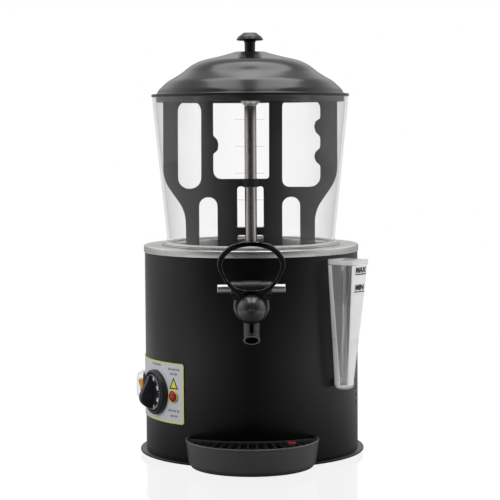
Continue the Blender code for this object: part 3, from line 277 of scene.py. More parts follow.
def rounded(corners, steps=5, closed=True):
    """Outline points from (x, y, radius) corners, each radius turned by a short arc."""
    points = []
    count = len(corners)
    for i, corner in enumerate(corners):
        x, y = corner[:2]
        radius = corner[2] if len(corner) > 2 else 0.0
        here = Vector((x, y))
        if not radius or (not closed and i in (0, count - 1)):
            points.append(here)
            continue
        before = Vector(corners[i - 1][:2]) - here
        after = Vector(corners[(i + 1) % count][:2]) - here
        half = before.angle(after) / 2
        reach = radius / math.tan(half)
        room = 0.49 * min(before.length, after.length)
        if reach > room:
            radius *= room / reach
            reach = room
        centre = here + (before.normalized() + after.normalized()).normalized() * (
            radius / math.sin(half)
        )
        first = here + before.normalized() * reach - centre
        sweep = first.angle_signed(here + after.normalized() * reach - centre)
        for k in range(steps + 1):
            points.append(centre + Matrix.Rotation(-sweep * k / steps, 2) @ first)
    return points


def curve_through(points, steps):
    """Points on a smooth open curve through the given ones."""
    found = []
    last = len(points) - 1
    for i in range(last):
        a, b, c, d = (Vector(points[min(max(k, 0), last)]) for k in range(i - 1, i + 3))
        for k in range(steps):
            t = k / steps
            square = (2 * a - 5 * b + 4 * c - d) * t * t
            cube = (3 * b - a - 3 * c + d) * t**3
            found.append(0.5 * (2 * b + (c - a) * t + square + cube))
    return [*found, Vector(points[-1])]


def turn_profile(points, sides, closed):
    """A bmesh turned round Z from (radius, height) points. A radius of zero makes a pole."""
    bm = bmesh.new()
    rings = []
    for r, z in points:
        if r < ON_AXIS:
            rings.append([bm.verts.new((0, 0, z))] * sides)
            continue
        angles = (2 * math.pi * k / sides for k in range(sides))
        rings.append([bm.verts.new((r * math.cos(a), r * math.sin(a), z)) for a in angles])
    pairs = list(zip(rings, rings[1:]))
    if closed:
        pairs.append((rings[-1], rings[0]))
    for upper, lower in pairs:
        for k in range(sides):
            after = (k + 1) % sides
            corners = [upper[k], lower[k], lower[after], upper[after]]
            found = list(dict.fromkeys(corners))
            if len(found) > 2:
                bm.faces.new(found)
    return bm


def turned(name, corners, material, sides=128, place=None, sharp=32.0):
    """A turned piece from (radius, height, corner radius) points. It is solid if they start at 0."""
    closed = corners[0][0] > ON_AXIS
    bm = turn_profile(rounded(corners, closed=closed), sides, closed)
    if place is not None:
        bm.transform(place)
    return finish_piece(name, bm, material, sharp)


def plate(loops, thickness):
    """A flat plate with holes in the XZ plane, centred on Y = 0, as a bmesh."""
    curve = bpy.data.curves.new("outline", "CURVE")
    curve.dimensions = "2D"
    curve.fill_mode = "BOTH"
    curve.extrude = thickness / 2
    for loop in loops:
        spline = curve.splines.new("POLY")
        spline.points.add(len(loop) - 1)
        for point, place in zip(spline.points, loop):
            point.co = (place[0], place[1], 0.0, 1.0)
        spline.use_cyclic_u = True
    return mesh_of(curve, spun(90, "X"))


def mesh_of(data, turn=None):
    """A curve's or a text's evaluated mesh as a bmesh, with its caps welded."""
    holder = bpy.data.objects.new("holder", data)
    bpy.context.scene.collection.objects.link(holder)
    bpy.context.view_layer.update()
    graph = bpy.context.evaluated_depsgraph_get()
    mesh = bpy.data.meshes.new_from_object(holder.evaluated_get(graph))
    bpy.data.objects.remove(holder, do_unlink=True)
    bm = bmesh.new()
    bm.from_mesh(mesh)
    bpy.data.meshes.remove(mesh)
    bmesh.ops.remove_doubles(bm, verts=bm.verts, dist=0.000002)
    if turn is not None:
        bm.transform(turn)
    return bm


def split_at(bm, positions, normal=(1, 0, 0)):
    direction = Vector(normal)
    for value in positions:
        geometry = [*bm.verts, *bm.edges, *bm.faces]
        bmesh.ops.bisect_plane(
            bm, geom=geometry, plane_co=direction * value, plane_no=direction, dist=1e-7
        )


def wrap(bm, radius, step=math.radians(1.5)):
    """Bends a plate in the XZ plane round the Z axis. X is arc length to the left of the front."""
    low = min(v.co.x for v in bm.verts)
    high = max(v.co.x for v in bm.verts)
    first = math.floor(low / radius / step) + 1
    last = math.ceil(high / radius / step)
    split_at(bm, [k * step * radius for k in range(first, last)])
    for vert in bm.verts:
        angle = vert.co.x / radius
        out = radius + vert.co.y
        vert.co.x = -out * math.sin(angle)
        vert.co.y = -out * math.cos(angle)


def rod(name, start, end, radius, material=POWDER, sides=48):
    start, end = Vector(start), Vector(end)
    bm = bmesh.new()
    bmesh.ops.create_cone(
        bm,
        cap_ends=True,
        segments=sides,
        radius1=radius,
        radius2=radius,
        depth=(end - start).length,
    )
    turn = (end - start).to_track_quat("Z", "Y").to_matrix().to_4x4()
    bm.transform(Matrix.Translation((start + end) / 2) @ turn)
    return finish_piece(name, bm, material)


def drum(low, high, radius):
    """An upright cylinder on the body's axis, for cutting round the body."""
    return rod("drum", (0, 0, low), (0, 0, high), radius, sides=192)


def block(name, low, high, material=POWDER):
    bm = bmesh.new()
    bmesh.ops.create_cube(bm, size=1.0)
    size = [b - a for a, b in zip(low, high)]
    middle = [(a + b) / 2 for a, b in zip(low, high)]
    bm.transform(Matrix.Translation(middle) @ Matrix.Diagonal((*size, 1.0)))
    return finish_piece(name, bm, material)


def combine(target, operation, *others, keep_materials=False):
    """Booleans others into target, applies the result and removes them."""
    for other in others:
        change = target.modifiers.new("Join", "BOOLEAN")
        change.operation = operation
        change.object = other
        change.solver = "EXACT"
        change.material_mode = "TRANSFER" if keep_materials else "INDEX"
    settle(target)
    for other in others:
        bpy.data.objects.remove(other, do_unlink=True)
    return target


def settle(obj):
    """Applies an object's modifiers."""
    bpy.context.view_layer.update()
    graph = bpy.context.evaluated_depsgraph_get()
    mesh = bpy.data.meshes.new_from_object(obj.evaluated_get(graph))
    obj.modifiers.clear()
    obj.data = mesh
    mesh.shade_smooth()
    mesh.set_sharp_from_angle(angle=math.radians(32))
    return obj


def soften(obj, width, segments=3, angle=35.0, edge=None):
    """Rounds an object's edges, in a material of their own if one is given."""
    rounding = obj.modifiers.new("Round", "BEVEL")
    rounding.width = width
    rounding.segments = segments
    rounding.limit_method = "ANGLE"
    rounding.angle_limit = math.radians(angle)
    if edge:
        obj.data.materials.append(edge)
        rounding.material = 1
    return settle(obj)


def join(name, *pieces):
    """Merges meshes into one object without a Boolean."""
    bm = bmesh.new()
    for piece in pieces:
        bm.from_mesh(piece.data)
    material = pieces[0].data.materials[0]
    for piece in pieces:
        bpy.data.objects.remove(piece, do_unlink=True)
    return finish_piece(name, bm, material)


def flutes(count, out, low, high, radius, sides=16):
    """One cutter of upright rods standing in a ring, for the grooves of a grip."""
    rods = []
    for k in range(count):
        angle = 2 * math.pi * k / count
        x, y = out * math.cos(angle), out * math.sin(angle)
        rods.append(rod("f", (x, y, low), (x, y, high), radius, sides=sides))
    return join("flutes", *rods)


def loft(rings, around=False):
    """A bmesh through rings of as many points each: capped, or round from the last to the first."""
    bm = bmesh.new()
    loops = [[bm.verts.new(p) for p in ring] for ring in rings]
    count = len(loops[0])
    for lower, upper in zip(loops, loops[1:] + loops[:1] if around else loops[1:]):
        for k in range(count):
            after = (k + 1) % count
            bm.faces.new((lower[k], lower[after], upper[after], upper[k]))
    if not around:
        bm.faces.new(list(reversed(loops[0])))
        bm.faces.new(loops[-1])
    return bm


def put(piece, body, *replaced, slot=None, place=None):
    """Hands a piece to its body, hides the CAD nodes it replaces and moves it to its place. The slot
    argument is not used.
    """
    if place is not None:
        piece.data.transform(place)
    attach(piece, body)
    if replaced:
        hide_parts(*replaced)
    return piece


def station(azimuth, height):
    """A place on the body's axis whose -Y points outward, azimuth degrees left of the front."""
    turn = spun(-azimuth, "Z")
    return turn @ moved(0.0, 0.0, height)


def outward(azimuth, height):
    """The same place with +Z pointing outward and +Y up."""
    return station(azimuth, height) @ spun(90, "X")


ALONG_TAP = moved(0, 0, TAP_HEIGHT) @ spun(90, "X")


# ---------------------------------------------------------------- base, body and deck
BASE_R = 0.1530
BODY_R = 0.1450
SHELL_LOW, SHELL_TOP = 0.0033, 0.2716
POT_R, POT_FLOOR = 0.1012, 0.1950
FOOT_OUT = 0.074
SCREW_HEAD = [
    (0.0, 0.1478), (0.0024, 0.1475, 0.0008), (0.0038, 0.1462, 0.0004), (0.0038, 0.1454),
    (0.0020, 0.1454), (0.0020, 0.1425), (0.0, 0.1425),
]


def make_base():
    pan = [
        (0.0, 0.0020), (0.1405, 0.0020, 0.001), (0.1405, 0.0180), (0.1422, 0.0180),
        (0.1422, 0.0032, 0.0010), (BASE_R, 0.0030, 0.0012), (BASE_R, 0.0, 0.0008), (0.0, 0.0),
    ]
    put(turned("base_flange", pan, POWDER, 160), "machine", "base_pan", slot="body_paint")
    for number, (sx, sy) in enumerate(QUARTERS, 1):
        foot = [
            (0.0, -0.0003), (0.0118, -0.0003, 0.0004), (0.0140, -0.0040, 0.0008),
            (0.0130, -0.0050, 0.0006), (0.0052, -0.0050, 0.0004), (0.0046, -0.0022, 0.0004),
            (0.0, -0.0022),
        ]
        place = moved(sx * FOOT_OUT, sy * FOOT_OUT, 0.0)
        piece = turned(f"rubber_foot_{number}", foot, RUBBER, 48, place)
        put(piece, "machine", f"foot_{number}", slot="rubber")
    for number, screw in enumerate(SCREWS, 1):
        place = outward(*screw)
        piece = turned(f"pan_screw_{number}", SCREW_HEAD, ZINC, 24, place)
        slot_cut = block("slot", (-0.0045, -0.0004, 0.1470), (0.0045, 0.0004, 0.1485))
        cross_cut = block("cross", (-0.0004, -0.0045, 0.1470), (0.0004, 0.0045, 0.1485))
        for cutter in (slot_cut, cross_cut):
            cutter.data.transform(place)
        combine(piece, "DIFFERENCE", slot_cut, cross_cut)
        put(piece, "machine", f"base_screw_{number}", slot="zinc")


def make_shell():
    inside = BODY_R - 0.0015
    profile = [
        (BODY_R, SHELL_TOP, 0.0005), (BODY_R, SHELL_LOW, 0.0005), (inside, SHELL_LOW),
        (inside, SHELL_TOP),
    ]
    shell = turned("body_drum", profile, POWDER, 192)
    cutters = [rod("c", (0, -0.13, TAP_HEIGHT), (0, -0.16, TAP_HEIGHT), 0.0134)]
    for (x, z), near, radius in ((GLAND, 0.130, 0.0083), (DRAIN, 0.115, 0.0064)):
        cutters.append(rod("c", (x, near, z), (x, 0.160, z), radius))
    holes = [(DIAL, 0.0060, 24), (LAMP, 0.0076, 24), ((FUNNEL_AZIMUTH, SPIGOT_HEIGHT), 0.0064, 24)]
    holes += [(screw, 0.0024, 24) for screw in SCREWS] + [(vent, 0.0022, 16) for vent in VENTS]
    for where, radius, sides in holes:
        cutter = rod("c", (0, -0.13, 0), (0, -0.16, 0), radius, sides=sides)
        cutter.data.transform(station(*where))
        cutters.append(cutter)
    window = block("c", (-0.0108, -0.160, -0.0138), (0.0108, -0.130, 0.0138))
    window.data.transform(station(*SWITCH))
    cutters.append(window)
    combine(shell, "DIFFERENCE", join("cuts", *cutters))
    put(shell, "machine", "body_shell", slot="body_paint")


def make_deck():
    profile = [
        (0.1462, 0.2812, 0.0040), (0.1462, 0.2718, 0.0004), (0.1447, 0.2718, 0.0004),
        (0.1447, 0.2794, 0.0010), (0.1040, 0.2795), (0.1040, 0.2810, 0.0004),
        (0.1240, 0.2810, 0.002), (0.1420, 0.2812, 0.002),
    ]
    put(turned("deck_lip", profile, DECK, 192), "machine", "deck_ring", slot="bright_steel")


def make_pot():
    profile = [
        (0.1220, 0.2825, 0.0005), (0.1220, 0.2813, 0.0003), (POT_R, 0.2813, 0.0015),
        (POT_R, POT_FLOOR, 0.0070), (0.00855, POT_FLOOR), (0.00855, 0.1962),
        (0.1000, 0.1962, 0.0060), (0.1000, 0.2825, 0.0020),
    ]
    pot = turned("inner_pot", profile, STEEL, 160)
    stub = rod("stub", (0, -0.1006, TAP_HEIGHT), (0, -0.1360, TAP_HEIGHT), 0.0107)
    bore = rod("bore", (0, -0.090, TAP_HEIGHT), (0, -0.140, TAP_HEIGHT), 0.0090)
    combine(pot, "UNION", stub)
    combine(pot, "DIFFERENCE", bore)
    put(pot, "machine", "steel_pot", slot="steel")


# ---------------------------------------------------------------- bowl and lid
BOWL_TOP, BOWL_TOP_R = 0.4810, 0.1334
BOWL_FOOT, BOWL_FOOT_R = 0.2896, 0.1142
BOWL_MARKS = [0.4500 - 0.0347 * k for k in range(5)]


def bowl_radius(height):
    """The bowl's outer radius at a height."""
    share = (height - BOWL_FOOT) / (BOWL_TOP - BOWL_FOOT)
    return BOWL_FOOT_R + (BOWL_TOP_R - BOWL_FOOT_R) * share


def make_bowl():
    profile = [
        (BOWL_TOP_R, BOWL_TOP, 0.0010), (BOWL_FOOT_R, BOWL_FOOT, 0.0006), (0.1150, 0.2880, 0.0006),
        (0.1150, 0.2866, 0.0006), (0.1138, 0.2851, 0.0005), (0.1083, 0.2851, 0.0005),
        (0.1083, 0.2884, 0.0010), (0.1110, BOWL_FOOT, 0.0015), (0.1302, BOWL_TOP, 0.0010),
    ]
    put(turned("clear_bowl", profile, BOWL_CLEAR, 160), "machine", "bowl", slot="clear_plastic")
    gasket = [(0.1165, 0.2848, 0.0005), (0.1165, 0.2828), (0.1072, 0.2828), (0.1072, 0.2848, 0.0005)]
    put(turned("bowl_seal", gasket, SILICONE, 128), "machine", "bowl_gasket", slot="silicone")
    marks = []
    for height in BOWL_MARKS:
        radius = bowl_radius(height) + 0.00008
        for left, right in ((-0.0180, -0.0045), (0.0045, 0.0205)):
            bm = plate([rectangle(left, right, height - 0.0003, height + 0.0003, 0.0002, 2)], 0.0004)
            wrap(bm, radius, math.radians(2))
            marks.append(finish_piece("mark", bm, MARK_CLEAR))
    put(join("bowl_marks", *marks), "machine", slot="clear_plastic")


def make_lid():
    dome = [
        (0.0155, 0.5412), (0.0200, 0.5418), (0.0288, 0.5392), (0.0448, 0.5350),
        (0.0634, 0.5308), (0.0737, 0.5268), (0.0807, 0.5228), (0.0862, 0.5187),
        (0.0913, 0.5146), (0.0973, 0.5106), (0.1041, 0.5065), (0.1110, 0.5025),
        (0.1160, 0.4984), (0.1202, 0.4944), (0.1243, 0.4903), (0.1265, 0.4862),
    ]
    outer = curve_through(dome, 3)
    brim = rounded(
        [
            tuple(outer[-1]), (0.1275, 0.4848, 0.0012), (0.1341, 0.4848, 0.0009),
            (0.1341, 0.4813, 0.0006), (0.1275, 0.4813, 0.0004), (0.1275, 0.4742, 0.0007),
            (0.1255, 0.4742, 0.0007), (0.1255, 0.4840),
        ],
        4,
        closed=False,
    )
    inner = []
    for before, here, after in zip(outer, outer[1:], outer[2:]):
        along = (after - before).normalized()
        inner.append(here + Vector((along.y, -along.x)) * 0.0025)
    inner = [p for p in inner if p.x < 0.1235]
    dimple = [Vector((0.0026, 0.5390)), Vector((0.0115, 0.5390)), Vector((0.0138, 0.5399))]
    under = [Vector((0.0120, 0.5365)), Vector((0.0026, 0.5365))]
    points = [*dimple, *outer, *brim[1:], *reversed(inner), *under]
    lid = finish_piece("lid_dome", turn_profile(points, 192, True), LID_PLASTIC, 28.0)
    put(lid, "lid", "lid", slot="lid_plastic")
    knob = [
        (0.0, 0.5675), (0.0085, 0.5675, 0.0012), (0.0158, 0.5622, 0.0030),
        (0.0180, 0.5589, 0.0006), (0.0180, 0.5578, 0.0005), (0.0165, 0.5571, 0.0005),
        (0.0090, 0.5571, 0.0012), (0.0073, 0.5545, 0.0020), (0.0071, 0.5400, 0.0008),
        (0.0085, 0.5393, 0.0003), (0.0023, 0.5393), (0.0023, 0.5520), (0.0, 0.5520),
    ]
    piece = turned("knob_cap", knob, PLASTIC, 96)
    put(piece, "lid", "lid_knob", slot="black_plastic")


# ---------------------------------------------------------------- stirrer
LEFT_CREASE = -0.0525
RIGHT_CREASE = 0.0692
PADDLE_BACK = 0.0130
PADDLE_PLATE = 0.0040
COLLAR_BORE = 0.00865
SHAFT_BORE = 0.0043


def paddle_loops():
    foot_low = 0.2165
    outer = rounded(
        [
            (-0.1179, 0.4858, 0.003), (-0.1187, 0.3690, 0.050), (-0.0893, 0.3260, 0.050),
            (-0.0886, 0.2850, 0.010), (-0.0905, 0.2720, 0.010), (-0.0885, 0.2037, 0.010),
            (0.0875, 0.2037, 0.010), (0.0893, 0.2720, 0.010), (0.0875, 0.2850, 0.010),
            (0.0876, 0.3255, 0.050), (0.1180, 0.3700, 0.055), (0.1179, 0.4858, 0.003),
        ],
        10,
    )
    top = 0.4765
    windows = [
        [
            (-0.0984, top, 0.015), (-0.0668, top, 0.015), (-0.0676, 0.3565, 0.0152),
            (-0.0989, 0.3565, 0.0152),
        ],
        [
            (-0.0507, top, 0.002), (0.0256, top, 0.002), (0.0252, 0.3694, 0.004),
            (-0.0510, 0.3694, 0.011), (-0.0509, 0.4035, 0.003), (-0.0450, 0.4085, 0.004),
            (-0.0438, 0.4165, 0.006), (-0.0453, 0.4230, 0.004), (-0.0508, 0.4290, 0.003),
        ],
        [
            (0.0437, top, 0.009), (0.0953, top, 0.012), (0.0952, 0.4515, 0.003),
            (0.0886, 0.4470, 0.004), (0.0870, 0.4400, 0.005), (0.0888, 0.4330, 0.004),
            (0.0951, 0.4262, 0.006), (0.0950, 0.4115, 0.006), (0.0886, 0.4055, 0.004),
            (0.0870, 0.3995, 0.005), (0.0888, 0.3930, 0.004), (0.0952, 0.3870, 0.006),
            (0.0950, 0.3581, 0.019), (0.0431, 0.3581, 0.010),
        ],
        [
            (-0.0185, 0.3591, 0.004), (0.0175, 0.3591, 0.004), (0.0175, 0.3030, 0.001),
            (-0.0185, 0.3030, 0.001),
        ],
        [
            (-0.0185, 0.2923, 0.003), (0.0175, 0.2923, 0.003), (0.0175, foot_low, 0.003),
            (-0.0185, foot_low, 0.003),
        ],
    ]
    arches = [
        [(low, 0.3445, 0.0122), (high, 0.3445, 0.0122), (high, foot_low, 0.003), (low, foot_low, 0.003)]
        for low, high in ((-0.0707, -0.0457), (0.0430, 0.0675))
    ]
    return [outer, *(rounded(loop, 7) for loop in windows + arches)]


def make_paddle():
    bm = plate(paddle_loops(), PADDLE_PLATE)
    split_at(bm, (LEFT_CREASE, RIGHT_CREASE))
    middle = PADDLE_BACK - PADDLE_PLATE / 2
    for vert in bm.verts:
        past = max(LEFT_CREASE - vert.co.x, vert.co.x - RIGHT_CREASE, 0.0)
        vert.co.y += middle - past * math.tan(math.radians(15))
    paddle = finish_piece("stir_paddle", bm, PADDLE_PLASTIC, 12.0)
    ring = [
        (0.0112, 0.3699, 0.0008), (0.0112, 0.3585, 0.0008),
        (COLLAR_BORE, 0.3585, 0.0004), (COLLAR_BORE, 0.3699, 0.0004),
    ]
    collar = turned("collar", ring, PADDLE_PLASTIC, 64)
    ring = [
        (0.0130, 0.4860, 0.001), (0.0130, 0.4771, 0.001), (SHAFT_BORE, 0.4771), (SHAFT_BORE, 0.4860),
    ]
    hub = turned("hub", ring, PADDLE_PLASTIC, 64)
    bores = [
        rod("b", (0, 0, 0.350), (0, 0, 0.380), COLLAR_BORE, sides=64),
        rod("b", (0, 0, 0.470), (0, 0, 0.490), SHAFT_BORE, sides=64),
    ]
    combine(paddle, "DIFFERENCE", *bores)
    combine(paddle, "UNION", collar, hub)
    put(paddle, "mixer", "mixer_paddle", slot="black_plastic")


def make_column():
    tube = [(0.00825, 0.4687, 0.0003), (0.00825, 0.0820), (0.00685, 0.0820), (0.00685, 0.4687, 0.0003)]
    piece = turned("stand_tube", tube, TUBE_STEEL, 64)
    put(piece, "machine", "centre_tube", slot="steel")
    cap = [
        (0.0130, 0.4762, 0.0004), (0.0130, 0.4750, 0.0006), (0.0112, 0.4722, 0.0030),
        (0.0086, 0.4690, 0.0006), (SHAFT_BORE, 0.4690), (SHAFT_BORE, 0.4762),
    ]
    put(turned("tube_cap", cap, TUBE_STEEL, 64), "mixer", "drive_cap", slot="bright_steel")
    nut = [
        (0.0, 0.4965), (0.0050, 0.4960, 0.0020), (0.0082, 0.4930, 0.0020),
        (0.0088, 0.4900, 0.0005), (0.0088, 0.4863, 0.0004), (SHAFT_BORE, 0.4863), (SHAFT_BORE, 0.4925),
        (0.0, 0.4925),
    ]
    piece = turned("hub_nut", nut, PADDLE_PLASTIC, 48)
    combine(piece, "DIFFERENCE", flutes(10, 0.0098, 0.4873, 0.4990, 0.0016))
    put(piece, "mixer", "paddle_nut", slot="black_plastic")


# ---------------------------------------------------------------- tap
def make_tap_body():
    back, front = 0.1476, 0.1790
    profile = [
        (0.0, front - 0.0010), (0.0150, front - 0.0010, 0.0006), (0.0160, front, 0.0006),
        (0.0205, front, 0.0020), (0.0233, front - 0.0050, 0.0020),
        (0.0235, front - 0.0100, 0.0010), (0.0226, front - 0.0108, 0.0004),
        (0.0226, front - 0.0125, 0.0004), (0.0235, front - 0.0133, 0.0010),
        (0.0235, back + 0.0040, 0.0020), (0.0220, back, 0.0010), (0.0130, back, 0.0005),
        (0.0130, 0.1334), (0.0, 0.1334),
    ]
    body = turned("tap_housing", profile, TAP_PLASTIC, 96, place=ALONG_TAP)
    down = moved(0, SPOUT_Y, 0)
    profile = [(0.0, TAP_HEIGHT), (0.0109, TAP_HEIGHT), (0.0109, 0.1600), (0.0, 0.1600)]
    spout = turned("spout", profile, TAP_PLASTIC, 64, down)
    profile = [(0.0, 0.0260), (0.0095, 0.0260, 0.0010), (0.0095, 0.0127, 0.0004), (0.0, 0.0127)]
    ears = []
    for side in (-1, 1):
        ear = turned("ear", profile, TAP_PLASTIC, 64, moved(*PIVOT) @ spun(90 * side, "Y"))
        near, far = side * 0.0130, side * 0.0250
        root = block("root", (min(near, far), -0.1840, 0.2220), (max(near, far), -0.1600, 0.2386))
        ears += [ear, root]
    combine(body, "UNION", spout, *ears)
    # The tip cutter leaves the light grey on the spout's cut end: a painted highlight.
    tip = block("tip", (-0.02, -0.03, -0.04), (0.02, 0.05, 0.0), PAINTED_HIGHLIGHT_PLASTIC)
    tip.data.transform(moved(0.0, -0.1769, 0.1750) @ spun(-32, "X"))
    # The groove cutter leaves the dull black in the groove: painted shade.
    groove = block("groove", (-0.0023, -0.1800, 0.1790), (0.0023, -0.1700, 0.1925), BORE_PAINTED_SHADE)
    bore = [(0.0, TAP_HEIGHT), (0.0086, TAP_HEIGHT), (0.0086, 0.1550), (0.0, 0.1550)]
    bores = [
        rod("b", (0, near, TAP_HEIGHT), (0, far, TAP_HEIGHT), radius)
        for near, far, radius in (
            (-0.1530, -0.1740, 0.0125), (-0.1200, -0.1500, 0.0110), (-0.1450, -0.1600, 0.0075),
            (-0.1700, -0.1900, 0.0049),
        )
    ]
    bores += [
        rod("b", (-half, *PIVOT[1:]), (half, *PIVOT[1:]), radius)
        for half, radius in ((0.040, PIN_BORE), (0.0126, 0.0103))
    ]
    combine(body, "DIFFERENCE", *bores)
    # These cutters carry their materials onto the cut faces: painted shade in the groove and the bore,
    # and a painted highlight on the tip.
    dark = [tip, groove, turned("bore", bore, BORE_PAINTED_SHADE, 48, down)]
    combine(body, "DIFFERENCE", *dark, keep_materials=True)
    put(body, "machine", "tap_body", "tap_spout", slot="black_plastic")
    pin = [(0.0, 0.0430), (0.00585, 0.0430, 0.0009), (0.00585, -0.0430, 0.0009), (0.0, -0.0430)]
    place = moved(*PIVOT) @ spun(90, "Y")
    piece = turned("cross_pin", pin, DECK, 64, place)
    put(piece, "machine", "tap_pin", slot="bright_steel")


def handle_loops():
    right_out = [
        (0.0, 0.0618), (0.0128, 0.0607), (0.0249, 0.0570), (0.0350, 0.0495), (0.0408, 0.0412),
        (0.0425, 0.0330), (0.0400, 0.0240), (0.0345, 0.0130), (0.0272, 0.0030),
        (0.0195, -0.0050), (0.0155, -0.0090),
    ]
    right_in = [
        (0.0, 0.0562), (0.0140, 0.0544), (0.0270, 0.0484), (0.0345, 0.0392), (0.0368, 0.0308),
        (0.0340, 0.0210), (0.0290, 0.0120), (0.0220, 0.0045), (0.0140, 0.0008),
        (0.0068, -0.0004),
    ]
    out = curve_through(right_out, 5)
    inside = curve_through(right_in, 5)
    outer = [*out, *(Vector((-p.x, p.y)) for p in reversed(out[1:]))]
    inner = [*inside, *(Vector((-p.x, p.y)) for p in reversed(inside[1:]))]
    return [outer, inner]


def make_handle():
    pivot = moved(*PIVOT)
    lean = moved(0.0, -0.0165, 0.0) @ spun(8, "X")
    bm = plate(handle_loops(), 0.0068)
    bm.transform(lean)
    # The handle's bevels take the light grey: a painted highlight along its edges.
    handle = soften(finish_piece("tap_lever", bm, LOOP_PLASTIC), 0.0014, 2, 50.0, PAINTED_HIGHLIGHT_PLASTIC)
    place = pivot @ moved(*BALL_FROM_PIVOT) @ spun(90, "X")
    ball = turned("tap_ball", ball_profile(), BALL_PLASTIC, 96, place, sharp=60.0)
    put(ball, "tap_handle", slot="black_plastic")
    hub = rod("hub", (-0.0123, 0, 0), (0.0123, 0, 0), 0.0095, TAP_PLASTIC)
    arm = block("arm", (-0.0085, -0.0060, -0.0260), (0.0085, 0.0050, 0.0), TAP_PLASTIC)
    arm.data.transform(spun(-39, "X"))
    neck = block("neck", (-0.0140, -0.0200, -0.0120), (0.0140, -0.0133, -0.0030), TAP_PLASTIC)
    neck.data.transform(spun(8, "X"))
    combine(handle, "UNION", hub, arm, neck)
    combine(handle, "DIFFERENCE", rod("b", (-0.02, 0, 0), (0.02, 0, 0), PIN_BORE))
    put(handle, "tap_handle", "tap_handle", slot="black_plastic", place=pivot)


def ball_profile():
    """A ball with a shallow round dimple in its front."""
    edge, depth = math.radians(15), 0.0022
    points = []
    for k in range(61):
        angle = math.pi * k / 60
        sink = depth * (0.5 + 0.5 * math.cos(math.pi * min(angle / edge, 1.0)))
        points.append((BALL_R * math.sin(angle), BALL_R * math.cos(angle) - sink))
    return points


def make_valve():
    tip = -PIVOT[1] - BALL_FROM_PIVOT[1] - BALL_R - 0.0004
    profile = [
        (0.0, tip), (0.0045, tip, 0.0008), (0.0045, 0.1680), (0.0085, 0.1680, 0.0004),
        (0.0085, 0.1662, 0.0004), (0.0045, 0.1662), (0.0045, 0.1480), (0.0098, 0.1480, 0.0004),
        (0.0098, 0.1455, 0.0004), (0.0, 0.1455),
    ]
    piece = turned("valve_stem", profile, BRIGHT, 48, place=ALONG_TAP)
    put(piece, "tap_valve", "tap_plunger", slot="bright_steel")


# ---------------------------------------------------------------- funnel
FUNNEL_TOP = 0.2675
FUNNEL_NECK = 0.1076
FUNNEL_BOTTOM = 0.0960


def funnel_section(height, inset, steps=10):
    share = min(max((height - FUNNEL_NECK) / (FUNNEL_TOP - FUNNEL_NECK), 0.0), 1.0)
    half_x = 0.0133 + 0.0054 * share - inset
    half_y = 0.0125 + 0.0087 * share - inset
    corner = max(0.0124 - 0.0084 * share - inset, 0.0004)
    middle = -(0.1612 + 0.0066 * share)
    points = []
    for quarter, (sx, sy) in enumerate(((1, 1), (-1, 1), (-1, -1), (1, -1))):
        for k in range(steps + 1):
            angle = (quarter + k / steps) * math.pi / 2
            x = sx * (half_x - corner) + corner * math.cos(angle)
            y = sy * (half_y - corner) + corner * math.sin(angle)
            points.append((x, middle + y))
    return points


def funnel_rings(levels):
    """The funnel's section at (height, inset) levels."""
    return [[(x, y, z) for x, y in funnel_section(z, inset)] for z, inset in levels]


